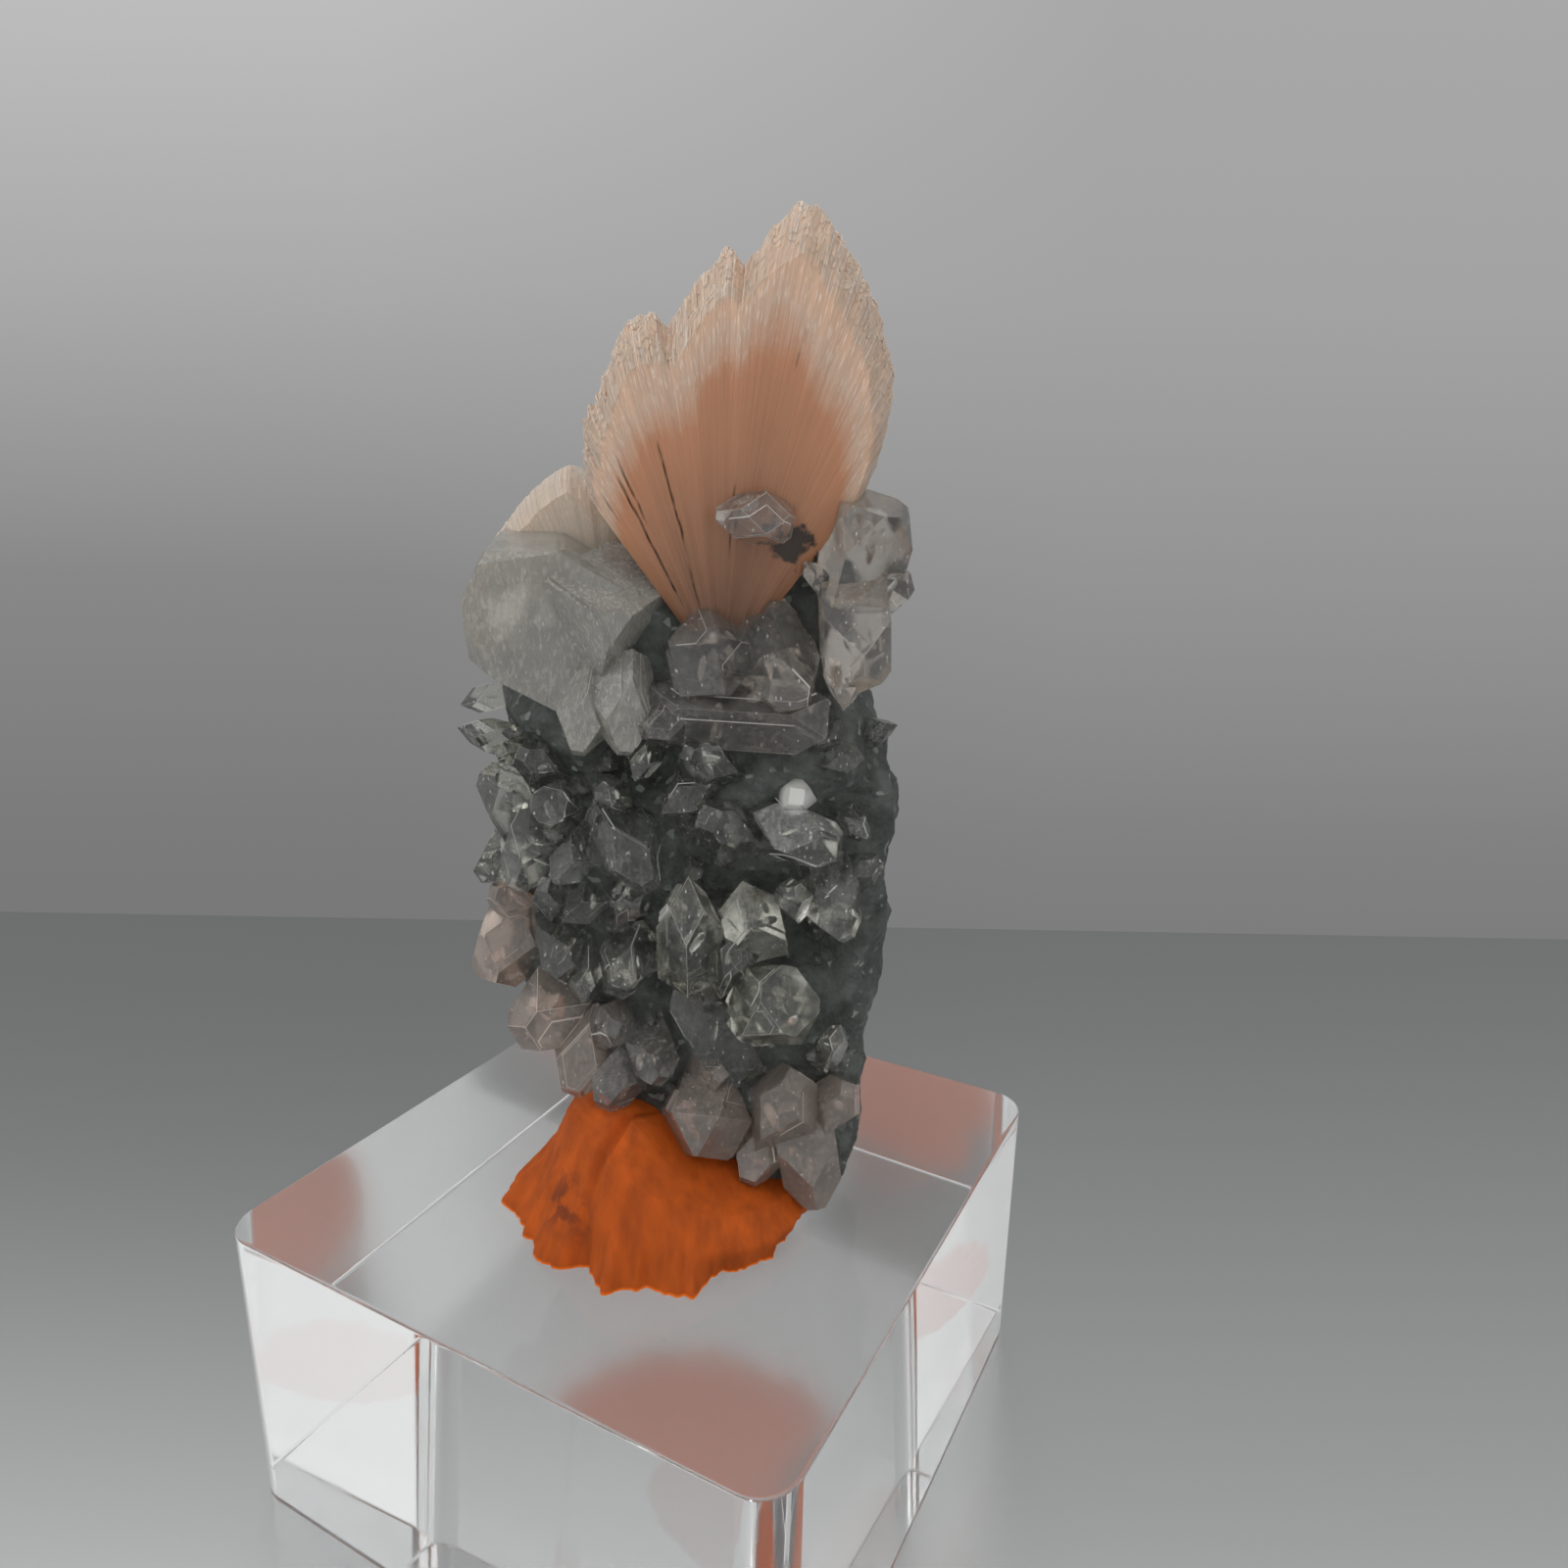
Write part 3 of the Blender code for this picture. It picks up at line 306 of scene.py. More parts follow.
CRYSTALS = {
    "apophyllite_upper_left_large": (
        crystal((-8.4, -3.0, 48.2), (-0.86, -0.14, 0.49), 3, 5.0, 13.0, flat=4.5, foot=4.5,
                broken=(((-12.9, -3.0, 47.0), (-0.99, -0.12, 0.0)),
                        ((-8.0, -3.0, 53.0), (0.0, -0.15, 1.0)))),
        crystal((-3.0, -4.8, 47.2), (0.80, -0.34, -0.49), 0, 3.6, 9.6, flat=2.8, foot=3.2),
        crystal((-4.2, -6.6, 41.6), (-0.10, -0.55, -0.82), 20, 1.9, 4.6, flat=3.8, foot=2.4),
        crystal((-1.6, -6.8, 42.1), (0.06, -0.50, -0.86), 38, 2.1, 4.9, flat=4.1, foot=2.6),
    ),
    "apophyllite_on_stilbite": (
        crystal((7.9, -8.8, 54.7), (-0.95, -0.20, 0.10), 30, 1.5, 3.5, flat=2.9, foot=2.2,
                pointed_foot=True),
    ),
    "apophyllite_upper_right": (
        crystal((14.8, -5.4, 53.0), (0.20, -0.30, 0.92), 28, 2.6, 7.0, flat=3.1, foot=3.4),
        crystal((16.3, -5.2, 49.9), (0.80, -0.40, 0.15), 40, 1.8, 3.4, flat=2.3, foot=3.0),
        crystal((12.0, -6.6, 50.6), (-0.55, -0.45, 0.70), 15, 0.7, 1.9, foot=2.2),
    ),
    "apophyllite_lower_right_pair": (
        crystal((14.6, -6.4, 46.6), (0.10, -0.55, -0.80), 16, 2.3, 5.4, flat=3.6, foot=3.4),
        crystal((14.0, -6.8, 43.9), (-0.05, -0.60, -0.80), 40, 1.1, 2.6, foot=2.4),
    ),
    "apophyllite_centre_large": (
        crystal((4.5, -7.2, 45.1), (-0.24, -0.90, -0.16), 38, 2.8, 5.5, flat=2.5, foot=4.0),
        crystal((9.1, -7.2, 45.2), (0.30, -0.55, -0.76), 12, 2.1, 6.0, flat=4.4, foot=4.4,
                pointed_foot=True),
    ),
    "apophyllite_centre_flat": (
        crystal((6.4, -7.4, 41.3), (1.0, -0.12, -0.02), 24, 1.9, 8.6, flat=6.6, foot=6.0,
                pointed_foot=True),
        crystal((2.0, -7.4, 40.8), (-0.70, -0.62, -0.20), 12, 1.6, 3.6, flat=2.8, foot=3.4),
    ),
    "apophyllite_row_two_left": (
        crystal((-0.3, -6.8, 37.8), (-0.15, -0.80, -0.50), 20, 1.0, 2.4, foot=2.2),
    ),
    "apophyllite_row_two_middle": (
        crystal((4.3, -7.4, 37.9), (-0.40, -0.80, 0.35), 5, 1.7, 3.6, flat=2.8, foot=2.8),
        crystal((3.1, -7.4, 35.2), (-0.55, -0.75, -0.20), 38, 1.4, 3.2, foot=2.6),
    ),
    "apophyllite_middle_lens": (
        crystal((10.6, -8.2, 32.6), (0.93, -0.32, -0.14), 38, 1.7, 4.8, flat=3.5, foot=3.8,
                pointed_foot=True),
        crystal((5.7, -8.0, 32.9), (-0.40, -0.72, 0.50), 8, 1.8, 4.2, flat=2.6, foot=3.2),
        crystal((10.7, -7.8, 35.3), (0.05, -0.92, 0.30), 40, 1.15, 2.6, flat=1.6, foot=2.4),
    ),
    "apophyllite_middle_wedge": (
        crystal((-1.4, -7.9, 31.1), (0.52, -0.66, -0.48), 30, 2.1, 4.6, flat=3.6, foot=3.4),
        crystal((-5.4, -7.0, 30.2), (-0.40, -0.75, -0.40), 15, 1.4, 3.2, flat=2.6, foot=3.0),
    ),
    "apophyllite_hollow_ring": (
        crystal((-6.8, -6.4, 34.0), (-0.10, -0.90, 0.25), 30, 1.35, 3.8, flat=1.6, foot=3.0),
    ),
    "apophyllite_left_edge": (
        crystal((-10.6, -3.6, 33.2), (-0.30, -0.40, 0.88), 12, 1.7, 4.8, flat=3.6, foot=3.6),
        crystal((-8.9, -5.0, 30.2), (-0.30, -0.60, -0.70), 33, 1.9, 4.3, flat=3.4, foot=3.4),
        crystal((-11.9, -2.6, 28.4), (-0.70, -0.50, -0.40), 20, 1.7, 3.4, flat=2.4, foot=3.2),
        crystal((-12.8, -2.2, 38.2), (-0.80, -0.40, 0.30), 8, 1.0, 2.3, foot=2.6),
    ),
    "apophyllite_left_rim_small": (
        crystal((-13.0, -0.8, 40.8), (-0.85, -0.30, -0.20), 25, 1.0, 2.1, foot=2.4),
    ),
    "apophyllite_cavity_left": (
        crystal((-8.4, -4.9, 36.8), (-0.30, -0.75, 0.45), 10, 1.3, 3.0, flat=2.2, foot=2.8),
        crystal((-11.0, -3.0, 37.0), (0.20, -0.80, 0.20), 35, 0.9, 2.4, foot=2.4),
    ),
    "apophyllite_cavity_middle": (
        crystal((-2.7, -6.5, 34.6), (0.10, -0.62, 0.76), 20, 1.3, 3.0, flat=2.2, foot=2.4),
    ),
    "apophyllite_row_three_left": (
        crystal((-1.6, -6.9, 26.8), (0.30, -0.70, 0.50), 35, 1.5, 3.4, flat=2.2, foot=2.6),
        crystal((-4.6, -6.2, 26.4), (-0.50, -0.70, -0.20), 12, 1.3, 3.0, foot=2.6),
        crystal((-7.2, -5.2, 26.4), (-0.20, -0.70, 0.60), 28, 1.5, 3.4, flat=2.6, foot=2.8),
    ),
    "apophyllite_right_edge_small": (
        crystal((16.6, -4.0, 39.4), (0.80, -0.40, 0.35), 15, 0.8, 1.8, foot=2.0),
    ),
    "apophyllite_middle_prism": (
        crystal((3.1, -8.5, 24.4), (0.0, -0.16, 0.98), 45, 1.75, 5.6, foot=3.4),
    ),
    "apophyllite_middle_pyramid": (
        crystal((7.5, -8.3, 26.4), (-0.12, -0.50, 0.86), 12, 2.1, 4.1, foot=3.0),
        crystal((6.2, -7.6, 22.8), (0.25, -0.50, 0.80), 40, 1.6, 3.8, foot=3.0),
    ),
    "apophyllite_right_trio": (
        crystal((10.6, -8.7, 28.0), (-0.15, -0.80, 0.50), 45, 1.1, 2.6, flat=1.9, foot=2.6),
        crystal((13.6, -8.0, 27.5), (0.30, -0.70, -0.60), 24, 1.7, 4.0, flat=3.2, foot=3.2),
        crystal((15.9, -6.8, 29.6), (0.45, -0.60, 0.55), 8, 1.0, 2.3, flat=1.6, foot=2.4),
        crystal((15.0, -7.0, 33.0), (0.40, -0.75, -0.20), 30, 0.8, 1.9, foot=2.2),
    ),
    "apophyllite_lower_cube": (
        crystal((9.4, -9.4, 19.6), (0.50, -0.66, 0.55), 14, 2.5, 6.2, flat=2.4, foot=3.2,
                pointed_foot=True),
    ),
    "apophyllite_lower_left_blocks": (
        crystal((-1.7, -8.0, 22.0), (-0.20, -0.78, -0.48), 8, 1.6, 3.5, flat=2.3, foot=2.8),
        crystal((-6.7, -5.9, 22.5), (0.30, -0.78, -0.45), 24, 2.0, 4.3, flat=2.8, foot=3.2),
        crystal((-5.0, -7.3, 20.9), (0.10, -0.70, -0.55), 40, 1.0, 2.5, foot=2.6),
    ),
    "apophyllite_left_pale_lump": (
        crystal((-11.9, -2.4, 21.4), (-0.22, -0.45, -0.86), 28, 2.3, 5.4, flat=3.4, foot=3.4,
                pointed_foot=True),
        crystal((-11.2, -2.8, 25.2), (-0.50, -0.66, 0.45), 10, 1.5, 3.2, flat=2.3, foot=3.0),
    ),
    "apophyllite_long_dark_prism": (
        crystal((4.7, -7.8, 16.8), (-0.42, -0.22, 0.88), 18, 1.9, 5.8, flat=4.8, foot=4.6),
    ),
    "apophyllite_lower_middle": (
        crystal((-2.8, -7.9, 17.2), (0.05, -0.85, 0.35), 22, 1.6, 3.7, flat=2.6, foot=2.8),
        crystal((0.0, -7.6, 14.9), (0.30, -0.75, -0.40), 40, 1.7, 3.9, flat=2.9, foot=3.0),
        crystal((-2.4, -8.0, 13.0), (-0.35, -0.75, -0.50), 12, 1.9, 3.9, flat=2.9, foot=3.2),
    ),
    "apophyllite_lower_left_mass": (
        crystal((-8.2, -5.6, 16.8), (-0.45, -0.75, -0.30), 30, 2.5, 5.0, flat=3.0, foot=3.0),
        crystal((-5.2, -6.8, 14.0), (-0.25, -0.70, -0.60), 8, 2.3, 4.6, flat=3.2, foot=3.0),
    ),
    "apophyllite_foot_cap": (
        crystal((4.3, -8.5, 9.7), (-0.10, -0.40, 0.90), 34, 2.6, 6.3, flat=3.0, foot=2.8,
                pointed_foot=True),
        crystal((4.6, -8.2, 13.4), (0.40, -0.75, 0.30), 10, 1.2, 2.8, flat=1.9, foot=2.4),
    ),
    "apophyllite_right_sliver": (
        crystal((13.8, -8.0, 15.4), (0.20, -0.40, 0.90), 45, 0.8, 2.9, foot=2.6, pointed_foot=True),
    ),
    "apophyllite_foot_right": (
        crystal((10.2, -8.3, 10.8), (0.20, -0.50, 0.80), 20, 2.3, 5.2, flat=3.6, foot=3.6),
        crystal((12.2, -7.6, 6.4), (0.16, -0.45, -0.85), 38, 2.3, 5.4, flat=4.6, foot=3.4),
        crystal((8.4, -8.0, 6.4), (-0.30, -0.70, -0.50), 10, 1.8, 3.6, flat=2.6, foot=3.0),
        crystal((14.0, -7.2, 10.2), (0.35, -0.60, 0.70), 42, 1.8, 4.4, flat=3.4, foot=3.0),
    ),
}
# Groups that aren't the ordinary colourless kind
FROSTED_GROUPS = ("apophyllite_upper_left_large",)
ROSY_GROUPS = (
    "apophyllite_on_stilbite", "apophyllite_upper_right", "apophyllite_lower_right_pair",
    "apophyllite_centre_large", "apophyllite_lower_middle", "apophyllite_centre_flat",
)
HAZY_GROUPS = (
    "apophyllite_left_pale_lump", "apophyllite_lower_left_mass", "apophyllite_foot_cap",
    "apophyllite_foot_right",
)

# Small crystals on the rock's front between the large ones: how many there are and how many
# different shapes, their half width and the power that favours small ones, and the left, right,
# low and high bounds of their area
DRUSE_SEED = 5
DRUSE_COUNT = 80
DRUSE_SHAPES = 6
DRUSE_HALF = (0.35, 1.2)
DRUSE_POWER = 2.4
DRUSE_AREA = (-12.5, 14.0, 8.0, 45.0)
# How much they lean and sink into the stone, and how clear they stay of a large crystal's middle
DRUSE_TILT = 0.75
DRUSE_SUNK = 0.1
CRYSTAL_CORE = 0.8
# Their shapes, for a half width of 1
DRUSE_TIP = (2.0, 2.9)
DRUSE_FLAT = (1.0, 2.6)
DRUSE_FOOT = 1.6
DRUSE_GROWTHS = 2.0
# A place well in front of the stone, from which it is looked at to find its front
LOOK_FROM = -40.0

# Putty: compass angle about its middle, reach on the block's top, height where it grips
PUTTY_MIDDLE = (2.4, -4.4)
PUTTY_ROWS = (
    (-174, 15.0, 10.4), (-160, 13.6, 10.8), (-148, 13.5, 11.2), (-138, 13.8, 11.0), (-132, 13.3, 10.8),
    (-126, 11.4, 10.4), (-119, 11.8, 10.0), (-113, 13.3, 9.6), (-107, 12.4, 8.8), (-100, 11.3, 7.8),
    (-90, 12.0, 6.8), (-83, 12.6, 6.2), (-76, 10.8, 5.6), (-66, 10.4, 5.2), (-50, 10.5, 4.6),
    (-25, 9.4, 3.8), (-6, 8.8, 3.4), (8, 11.0, 4.0), (16, 13.6, 4.8), (30, 12.6, 6.6), (60, 10.8, 8.2),
    (90, 10.4, 9.4), (120, 11.2, 10.4), (150, 13.0, 10.4), (170, 14.4, 10.2), (186, 15.0, 10.4),
)
# Slope of the putty: share of the way up its skin, share of its reach and share of its height
PUTTY_PROFILE = (
    (0.00, 1.00, 0.00), (0.06, 0.995, 0.05), (0.35, 0.90, 0.40), (0.70, 0.76, 0.80), (1.0, 0.55, 1.00),
)
PUTTY_AROUND = 380
PUTTY_ALONG = 90
# Soft lumps: their size and height, and how much of it also lifts the putty
PUTTY_LUMPS = (4.5, 0.5)
PUTTY_LIFT = 0.35
# The foot's lobes even out into a round slope of this reach as the putty climbs
PUTTY_REACH = 12.4
PUTTY_EVENING = 2.2
PUTTY_SUNK = 0.03
# Ragged edge of the foot: size of its lobes on a circle of one radius, and how far they reach
PUTTY_RAGGED = ((1.6, 0.7), (0.55, 0.35))
RAGGED_RADIUS = 12.0
# Thumbprint: middle of its ridges, their spacing and height, and how fast they set in above the foot
PRINT_MIDDLE = (-4.0, -9.0, 0.0)
PRINT_SPACING = 0.46
PRINT_HEIGHT = 0.02
PRINT_ONSET = 4.0
# Fold where two strips of putty meet: compass angle, half width and depth
PUTTY_FOLD = (-128.0, 3.0, 0.9)
# Mottle of the worked putty, drawn out one way: its place on the noise and its share of the colour
MOTTLE_SIZE = 1.4
MOTTLE_TURN = (0.0, 0.9, 0.5)
MOTTLE_STRETCH = (1.0, 1.0, 0.25)
MOTTLE_SHADES = ((0.32, 0.52), (0.5, 0.66), (0.7, 0.8))
PUTTY_GRAIN = 0.35
# Darker patch by the fold, made of small blots
DARK_BLOTS_PLACE = (-5.2, -10.5, 3.0)
DARK_BLOTS_REACH = 3.6
DARK_BLOTS_STRENGTH = 0.8
DARK_BLOTS_COLOUR = "#5A2A18"
BLOT_SIZE = 1.2
# Painted light on the putty's underside and foot where it meets the block, seen through the block:
# how high its brighter colour reaches, its shares of the putty's red, green and blue, and the
# strength of the painted light that it gives off, glowing faintly into the block
CONTACT_DEPTH = 0.25
UNDERSIDE_LIGHT_SHARES = (1.25, 1.25, 0.6)
UNDERSIDE_GLOW_STRENGTH = 0.16

# Stage, in the specimen's millimetres. Floor: width and depth, middle from front to back, and how
# far it fades out inside its edges and lies below the block
FLOOR_SIZE = (640.0, 446.0)
FLOOR_MIDDLE = -95.0
FLOOR_FADE = 17.0
FLOOR_DROP = -0.05
# Wall: how far back it stands, its width and height, and how far its foot is below the floor
WALL_PLACE = 111.0
WALL_SIZE = (640.0, 300.0)
WALL_SUNK = 1.0
# Half width over which the wall's two sides run into each other
WALL_BLEND = 60.0
# Camera, solved from the corners of the block's top
CAMERA_PLACE = (9.85, -82.0, 56.9)
CAMERA_PITCH = math.radians(15.53)
CAMERA_ROLL = math.radians(-1.0146)
CAMERA_LENS = 24.75
CAMERA_SENSOR = 36.0
# Soft lights: where they stand, what they look at, and their sides in metres
LIGHT_AIM = (3.0, -4.0, 30.0)
KEY_PLACE = (-70.0, -78.0, 150.0)
KEY_SIZE = 0.05
TOP_PLACE = (10.0, 60.0, 260.0)
TOP_SIZE = 0.26
# Wall, glowing with painted light, at the viewer's left and right: height above the floor, and the
# brightness there
WALL_LEFT = ((0.0, 0.19), (19.0, 0.198), (64.7, 0.245), (112.6, 0.40), (154.6, 0.51), (230.0, 0.75))
WALL_RIGHT = ((0.0, 0.205), (19.0, 0.22), (64.7, 0.29), (112.6, 0.365), (154.6, 0.39), (230.0, 0.60))
# Surround: how high, from half below the horizon up to overhead, and the brightness there
SURROUND = ((0.08, 0.55), (0.30, 0.80), (0.556, 0.85), (0.75, 0.90), (1.0, 0.95))
# The surround's share of that brightness at the viewer's right and left
SURROUND_SIDES = (0.85, 1.1)


def srgb(code):
    """A hex colour as linear red, green and blue."""
    shares = [int(code[i:i + 2], 16) / 255 for i in (1, 3, 5)]
    return tuple(s / 12.92 if s <= 0.04045 else ((s + 0.055) / 1.055) ** 2.4 for s in shares)


def with_alpha(colour):
    return (*colour, 1.0)


def grey(value):
    return (value, value, value)


def shades(base, rows):
    """Colour stops that are each a share of one colour."""
    return [(place, tuple(share * c for c in base)) for place, share in rows]


def per_mm(size):
    """A texture scale at which one feature measures this many millimetres."""
    return 1.0 / (size * MM)


class StandSettings(bpy.types.PropertyGroup):
    block_corner: bpy.props.FloatProperty(
        name="Corner radius", description="Radius of the block's upright edges",
        default=0.003, min=0.0005, unit="LENGTH")
    block_edge: bpy.props.FloatProperty(
        name="Edge round", description="Round of the block's top and bottom edges",
        default=0.0002, min=0.0001, unit="LENGTH")
    block_colour: bpy.props.FloatVectorProperty(
        name="Acrylic", description="Tint of the clear acrylic",
        default=srgb("#FBFCFC"), size=3, subtype="COLOR")
    putty_colour: bpy.props.FloatVectorProperty(
        name="Putty", description="Colour of the mounting putty",
        default=srgb("#DB6416"), size=3, subtype="COLOR")


class MineralSettings(bpy.types.PropertyGroup):
    basalt_colour: bpy.props.FloatVectorProperty(
        name="Basalt", description="Colour of the basalt between its grains",
        default=srgb("#464A47"), size=3, subtype="COLOR")
    stilbite_core: bpy.props.FloatVectorProperty(
        name="Stilbite core", description="Colour of the stilbite inside the sheaf",
        default=srgb("#C08A68"), size=3, subtype="COLOR")
    stilbite_rim: bpy.props.FloatVectorProperty(
        name="Stilbite rim", description="Colour of the stilbite at the ends of its blades",
        default=srgb("#D8B69C"), size=3, subtype="COLOR")
    apophyllite_colour: bpy.props.FloatVectorProperty(
        name="Apophyllite", description="Tint of the colourless apophyllite",
        default=srgb("#EDEDE8"), size=3, subtype="COLOR")
    rosy_colour: bpy.props.FloatVectorProperty(
        name="Rosy apophyllite", description="Tint of the faintly pink apophyllite",
        default=srgb("#EDE9E4"), size=3, subtype="COLOR")
    frosted_colour: bpy.props.FloatVectorProperty(
        name="Frosted apophyllite", description="Tint of the frosted apophyllite",
        default=srgb("#E6E4DC"), size=3, subtype="COLOR")


class StageSettings(bpy.types.PropertyGroup):
    floor_colour: bpy.props.FloatVectorProperty(
        name="Floor", description="Colour of the satin floor",
        default=srgb("#E2E4E4"), size=3, subtype="COLOR")
    key_power: bpy.props.FloatProperty(
        name="Key light", description="Power of the small soft light at upper left",
        default=0.024, min=0.0, unit="POWER")
    top_power: bpy.props.FloatProperty(
        name="Top light", description="Power of the soft light overhead",
        default=0.03, min=0.0, unit="POWER")


def between(rows, key):
    """Read a table of rows, sorted by their first value, at any key by straight interpolation."""
    if key <= rows[0][0]:
        return rows[0][1:]
    for low, high in zip(rows, rows[1:]):
        if key <= high[0]:
            share = (key - low[0]) / (high[0] - low[0])
            return tuple(a + share * (b - a) for a, b in zip(low[1:], high[1:]))
    return rows[-1][1:]


def deselect():
    if bpy.context.object and bpy.context.object.mode != "OBJECT":
        bpy.ops.object.mode_set(mode="OBJECT")
    bpy.ops.object.select_all(action="DESELECT")


def select_only(thing, kind, wanted):
    """Go into edit mode with only the edges or only the polygons selected that pass a test."""
    bpy.ops.object.mode_set(mode="OBJECT")
    mesh = thing.data
    for item in (*mesh.vertices, *mesh.edges, *mesh.polygons):
        item.select = False
    for item in getattr(mesh, kind):
        item.select = wanted(item)
    bpy.context.tool_settings.mesh_select_mode = (False, kind == "edges", kind == "polygons")
    bpy.ops.object.mode_set(mode="EDIT")


def finish_piece(thing, material, nodes=(), place=PLACE):
    """Set a finished piece in the row frame, give it its material and hide the parts that it stands
    for.
    """
    thing.data.transform(place)
    thing.data.materials.clear()
    thing.data.materials.append(material)
    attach(thing, "root")
    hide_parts(*nodes)
    deselect()


def rolled_body(name, around, along, place):
    """Roll a grid into a closed body. place(turn, rise) gives each point, rise from 0 to 1."""
    deselect()
    bpy.ops.mesh.primitive_grid_add(x_subdivisions=around, y_subdivisions=along, size=2.0)
    thing = bpy.context.object
    thing.name = name
    for vertex in thing.data.vertices:
        vertex.co = place(math.pi * (vertex.co.x + 1.0), (vertex.co.y + 1.0) / 2.0)
    bpy.ops.object.mode_set(mode="EDIT")
    bpy.ops.mesh.select_all(action="SELECT")
    bpy.ops.mesh.remove_doubles(threshold=MERGE_DISTANCE)
    bpy.ops.mesh.fill_holes(sides=0)
    bpy.ops.mesh.select_all(action="DESELECT")
    bpy.ops.mesh.select_face_by_sides(number=4, type="GREATER")
    bpy.ops.mesh.poke()
    bpy.ops.mesh.select_all(action="SELECT")
    bpy.ops.mesh.normals_make_consistent(inside=False)
    bpy.ops.object.mode_set(mode="OBJECT")
    return thing


def polished_block(settings):
    """The clear block, from a cube with its upright edges and then its rims rounded."""
    side = (BLOCK_HIGH.x - BLOCK_LOW.x) / MM
    height = (BLOCK_HIGH.z - BLOCK_LOW.z) / MM
    deselect()
    bpy.ops.mesh.primitive_cube_add(size=side, location=(0.0, 0.0, height / 2))
    thing = bpy.context.object
    thing.name = "acrylic_block_polished"
    bpy.ops.object.mode_set(mode="EDIT")
    bpy.ops.transform.resize(value=(1.0, 1.0, height / side))
    bpy.ops.object.mode_set(mode="OBJECT")
    bpy.ops.object.transform_apply(location=True, rotation=True, scale=True)

    def heights(edge):
        return [thing.data.vertices[i].co.z for i in edge.vertices]

    def is_upright(edge):
        low, high = sorted(heights(edge))
        return high - low > height / 2

    def is_rim(edge):
        low, high = sorted(heights(edge))
        return high - low < height / 100 and (low < height / 100 or high > height * 0.99)

    select_only(thing, "edges", is_upright)
    bpy.ops.mesh.bevel(offset=settings.block_corner / MM, segments=CORNER_STEPS, affect="EDGES")
    select_only(thing, "edges", is_rim)
    bpy.ops.mesh.bevel(offset=settings.block_edge / MM, segments=RIM_STEPS, affect="EDGES")
    select_only(thing, "polygons", lambda face: face.area > side)
    bpy.ops.mesh.inset(thickness=BLOCK_MARGIN, use_individual=True)
    bpy.ops.object.mode_set(mode="OBJECT")
    bpy.ops.object.shade_smooth_by_angle(angle=SMOOTH_ANGLE)
    return thing


def broken_stone(point):
    """How far a broken stone face stands out: swells, scooped chips with sharp rims and grain."""
    swell_size, swell_height = ROCK_SWELL
    chip_size, chip_depth = ROCK_CHIP
    nearest = noise.voronoi(point / chip_size)[0][0]
    rough = swell_height * noise.noise(point / swell_size) + chip_depth * (nearest - CHIP_LEVEL)
    for size, height in ROCK_GRAINS:
        rough += height * noise.noise(point / size)
    return rough


def rock_point(turn, rise):
    """One point of the basalt's skin at an angle around it and a share of its height."""
    height = ROCK_ROWS[0][0] + (ROCK_ROWS[-1][0] - ROCK_ROWS[0][0]) * rise
    left, right, front, back = between(ROCK_ROWS, height)
    across = math.cos(turn)
    through = math.sin(turn)
    squared_x = math.copysign(abs(across) ** ROCK_SQUARENESS, across)
    squared_y = math.copysign(abs(through) ** ROCK_SQUARENESS, through)
    x = (left + right) / 2 + squared_x * (right - left) / 2
    y = (front + back) / 2 + squared_y * (back - front) / 2
    nearness = (1.0 - squared_y) / 2
    y += nearness * ROCK_BEND * max(0.0, ROCK_BEND_FROM - x) ** 2
    calm = 0.0
    for hollow_x, hollow_z, radius, depth in ROCK_HOLLOWS:
        reach = ((x - hollow_x) ** 2 + (height - hollow_z) ** 2) / radius ** 2
        y += nearness ** HOLLOW_POWER * depth * math.exp(-reach)
        if depth < 0.0:
            calm = LEDGE_CALM * nearness * math.exp(-reach ** 2)
    rough = broken_stone(Vector((x, y, height))) * (1.0 - calm)
    return Vector((x + rough * squared_x, y + rough * squared_y, height + ROCK_LIFT * rough))


def flat_sheaf(name, sheaf):
    """A flat sheaf in a cube from -1 to 1 across and through: blades stand on it from z 1 to 2."""
    deselect()
    bpy.ops.mesh.primitive_grid_add(x_subdivisions=sheaf.columns, y_subdivisions=sheaf.layers,
                                    size=2.0, location=(0.0, 0.0, 0.0))
    thing = bpy.context.object
    thing.name = name
    chance = random.Random(SHEAF_SEED)
    for vertex in thing.data.vertices:
        if abs(vertex.co.x) < INNER_PART and abs(vertex.co.y) < INNER_PART:
            vertex.co.x += chance.uniform(-TIP_STRAY, TIP_STRAY) * 2.0 / sheaf.columns
            vertex.co.y += chance.uniform(-TIP_STRAY, TIP_STRAY) * 2.0 / sheaf.layers
        vertex.co.z = 1.0
    bpy.context.tool_settings.mesh_select_mode = (False, False, True)
    bpy.ops.object.mode_set(mode="EDIT")
    bpy.ops.mesh.select_all(action="SELECT")
    bpy.ops.mesh.inset(thickness=TIP_GAP / sheaf.columns, use_individual=True, use_boundary=True)
    bpy.ops.mesh.extrude_region_move(TRANSFORM_OT_translate={"value": (0.0, 0.0, 1.0)})
    bpy.ops.mesh.select_all(action="DESELECT")
    bpy.ops.mesh.select_mode(type="EDGE")
    bpy.ops.mesh.select_non_manifold()
    step = (0.0, 0.0, -1.0 / sheaf.rings)
    for _ in range(sheaf.rings):
        bpy.ops.mesh.extrude_region_move(TRANSFORM_OT_translate={"value": step})
    bpy.ops.mesh.edge_face_add()
    bpy.ops.mesh.poke()
    bpy.ops.mesh.select_all(action="SELECT")
    bpy.ops.mesh.normals_make_consistent(inside=False)
    bpy.ops.object.mode_set(mode="OBJECT")
    return thing


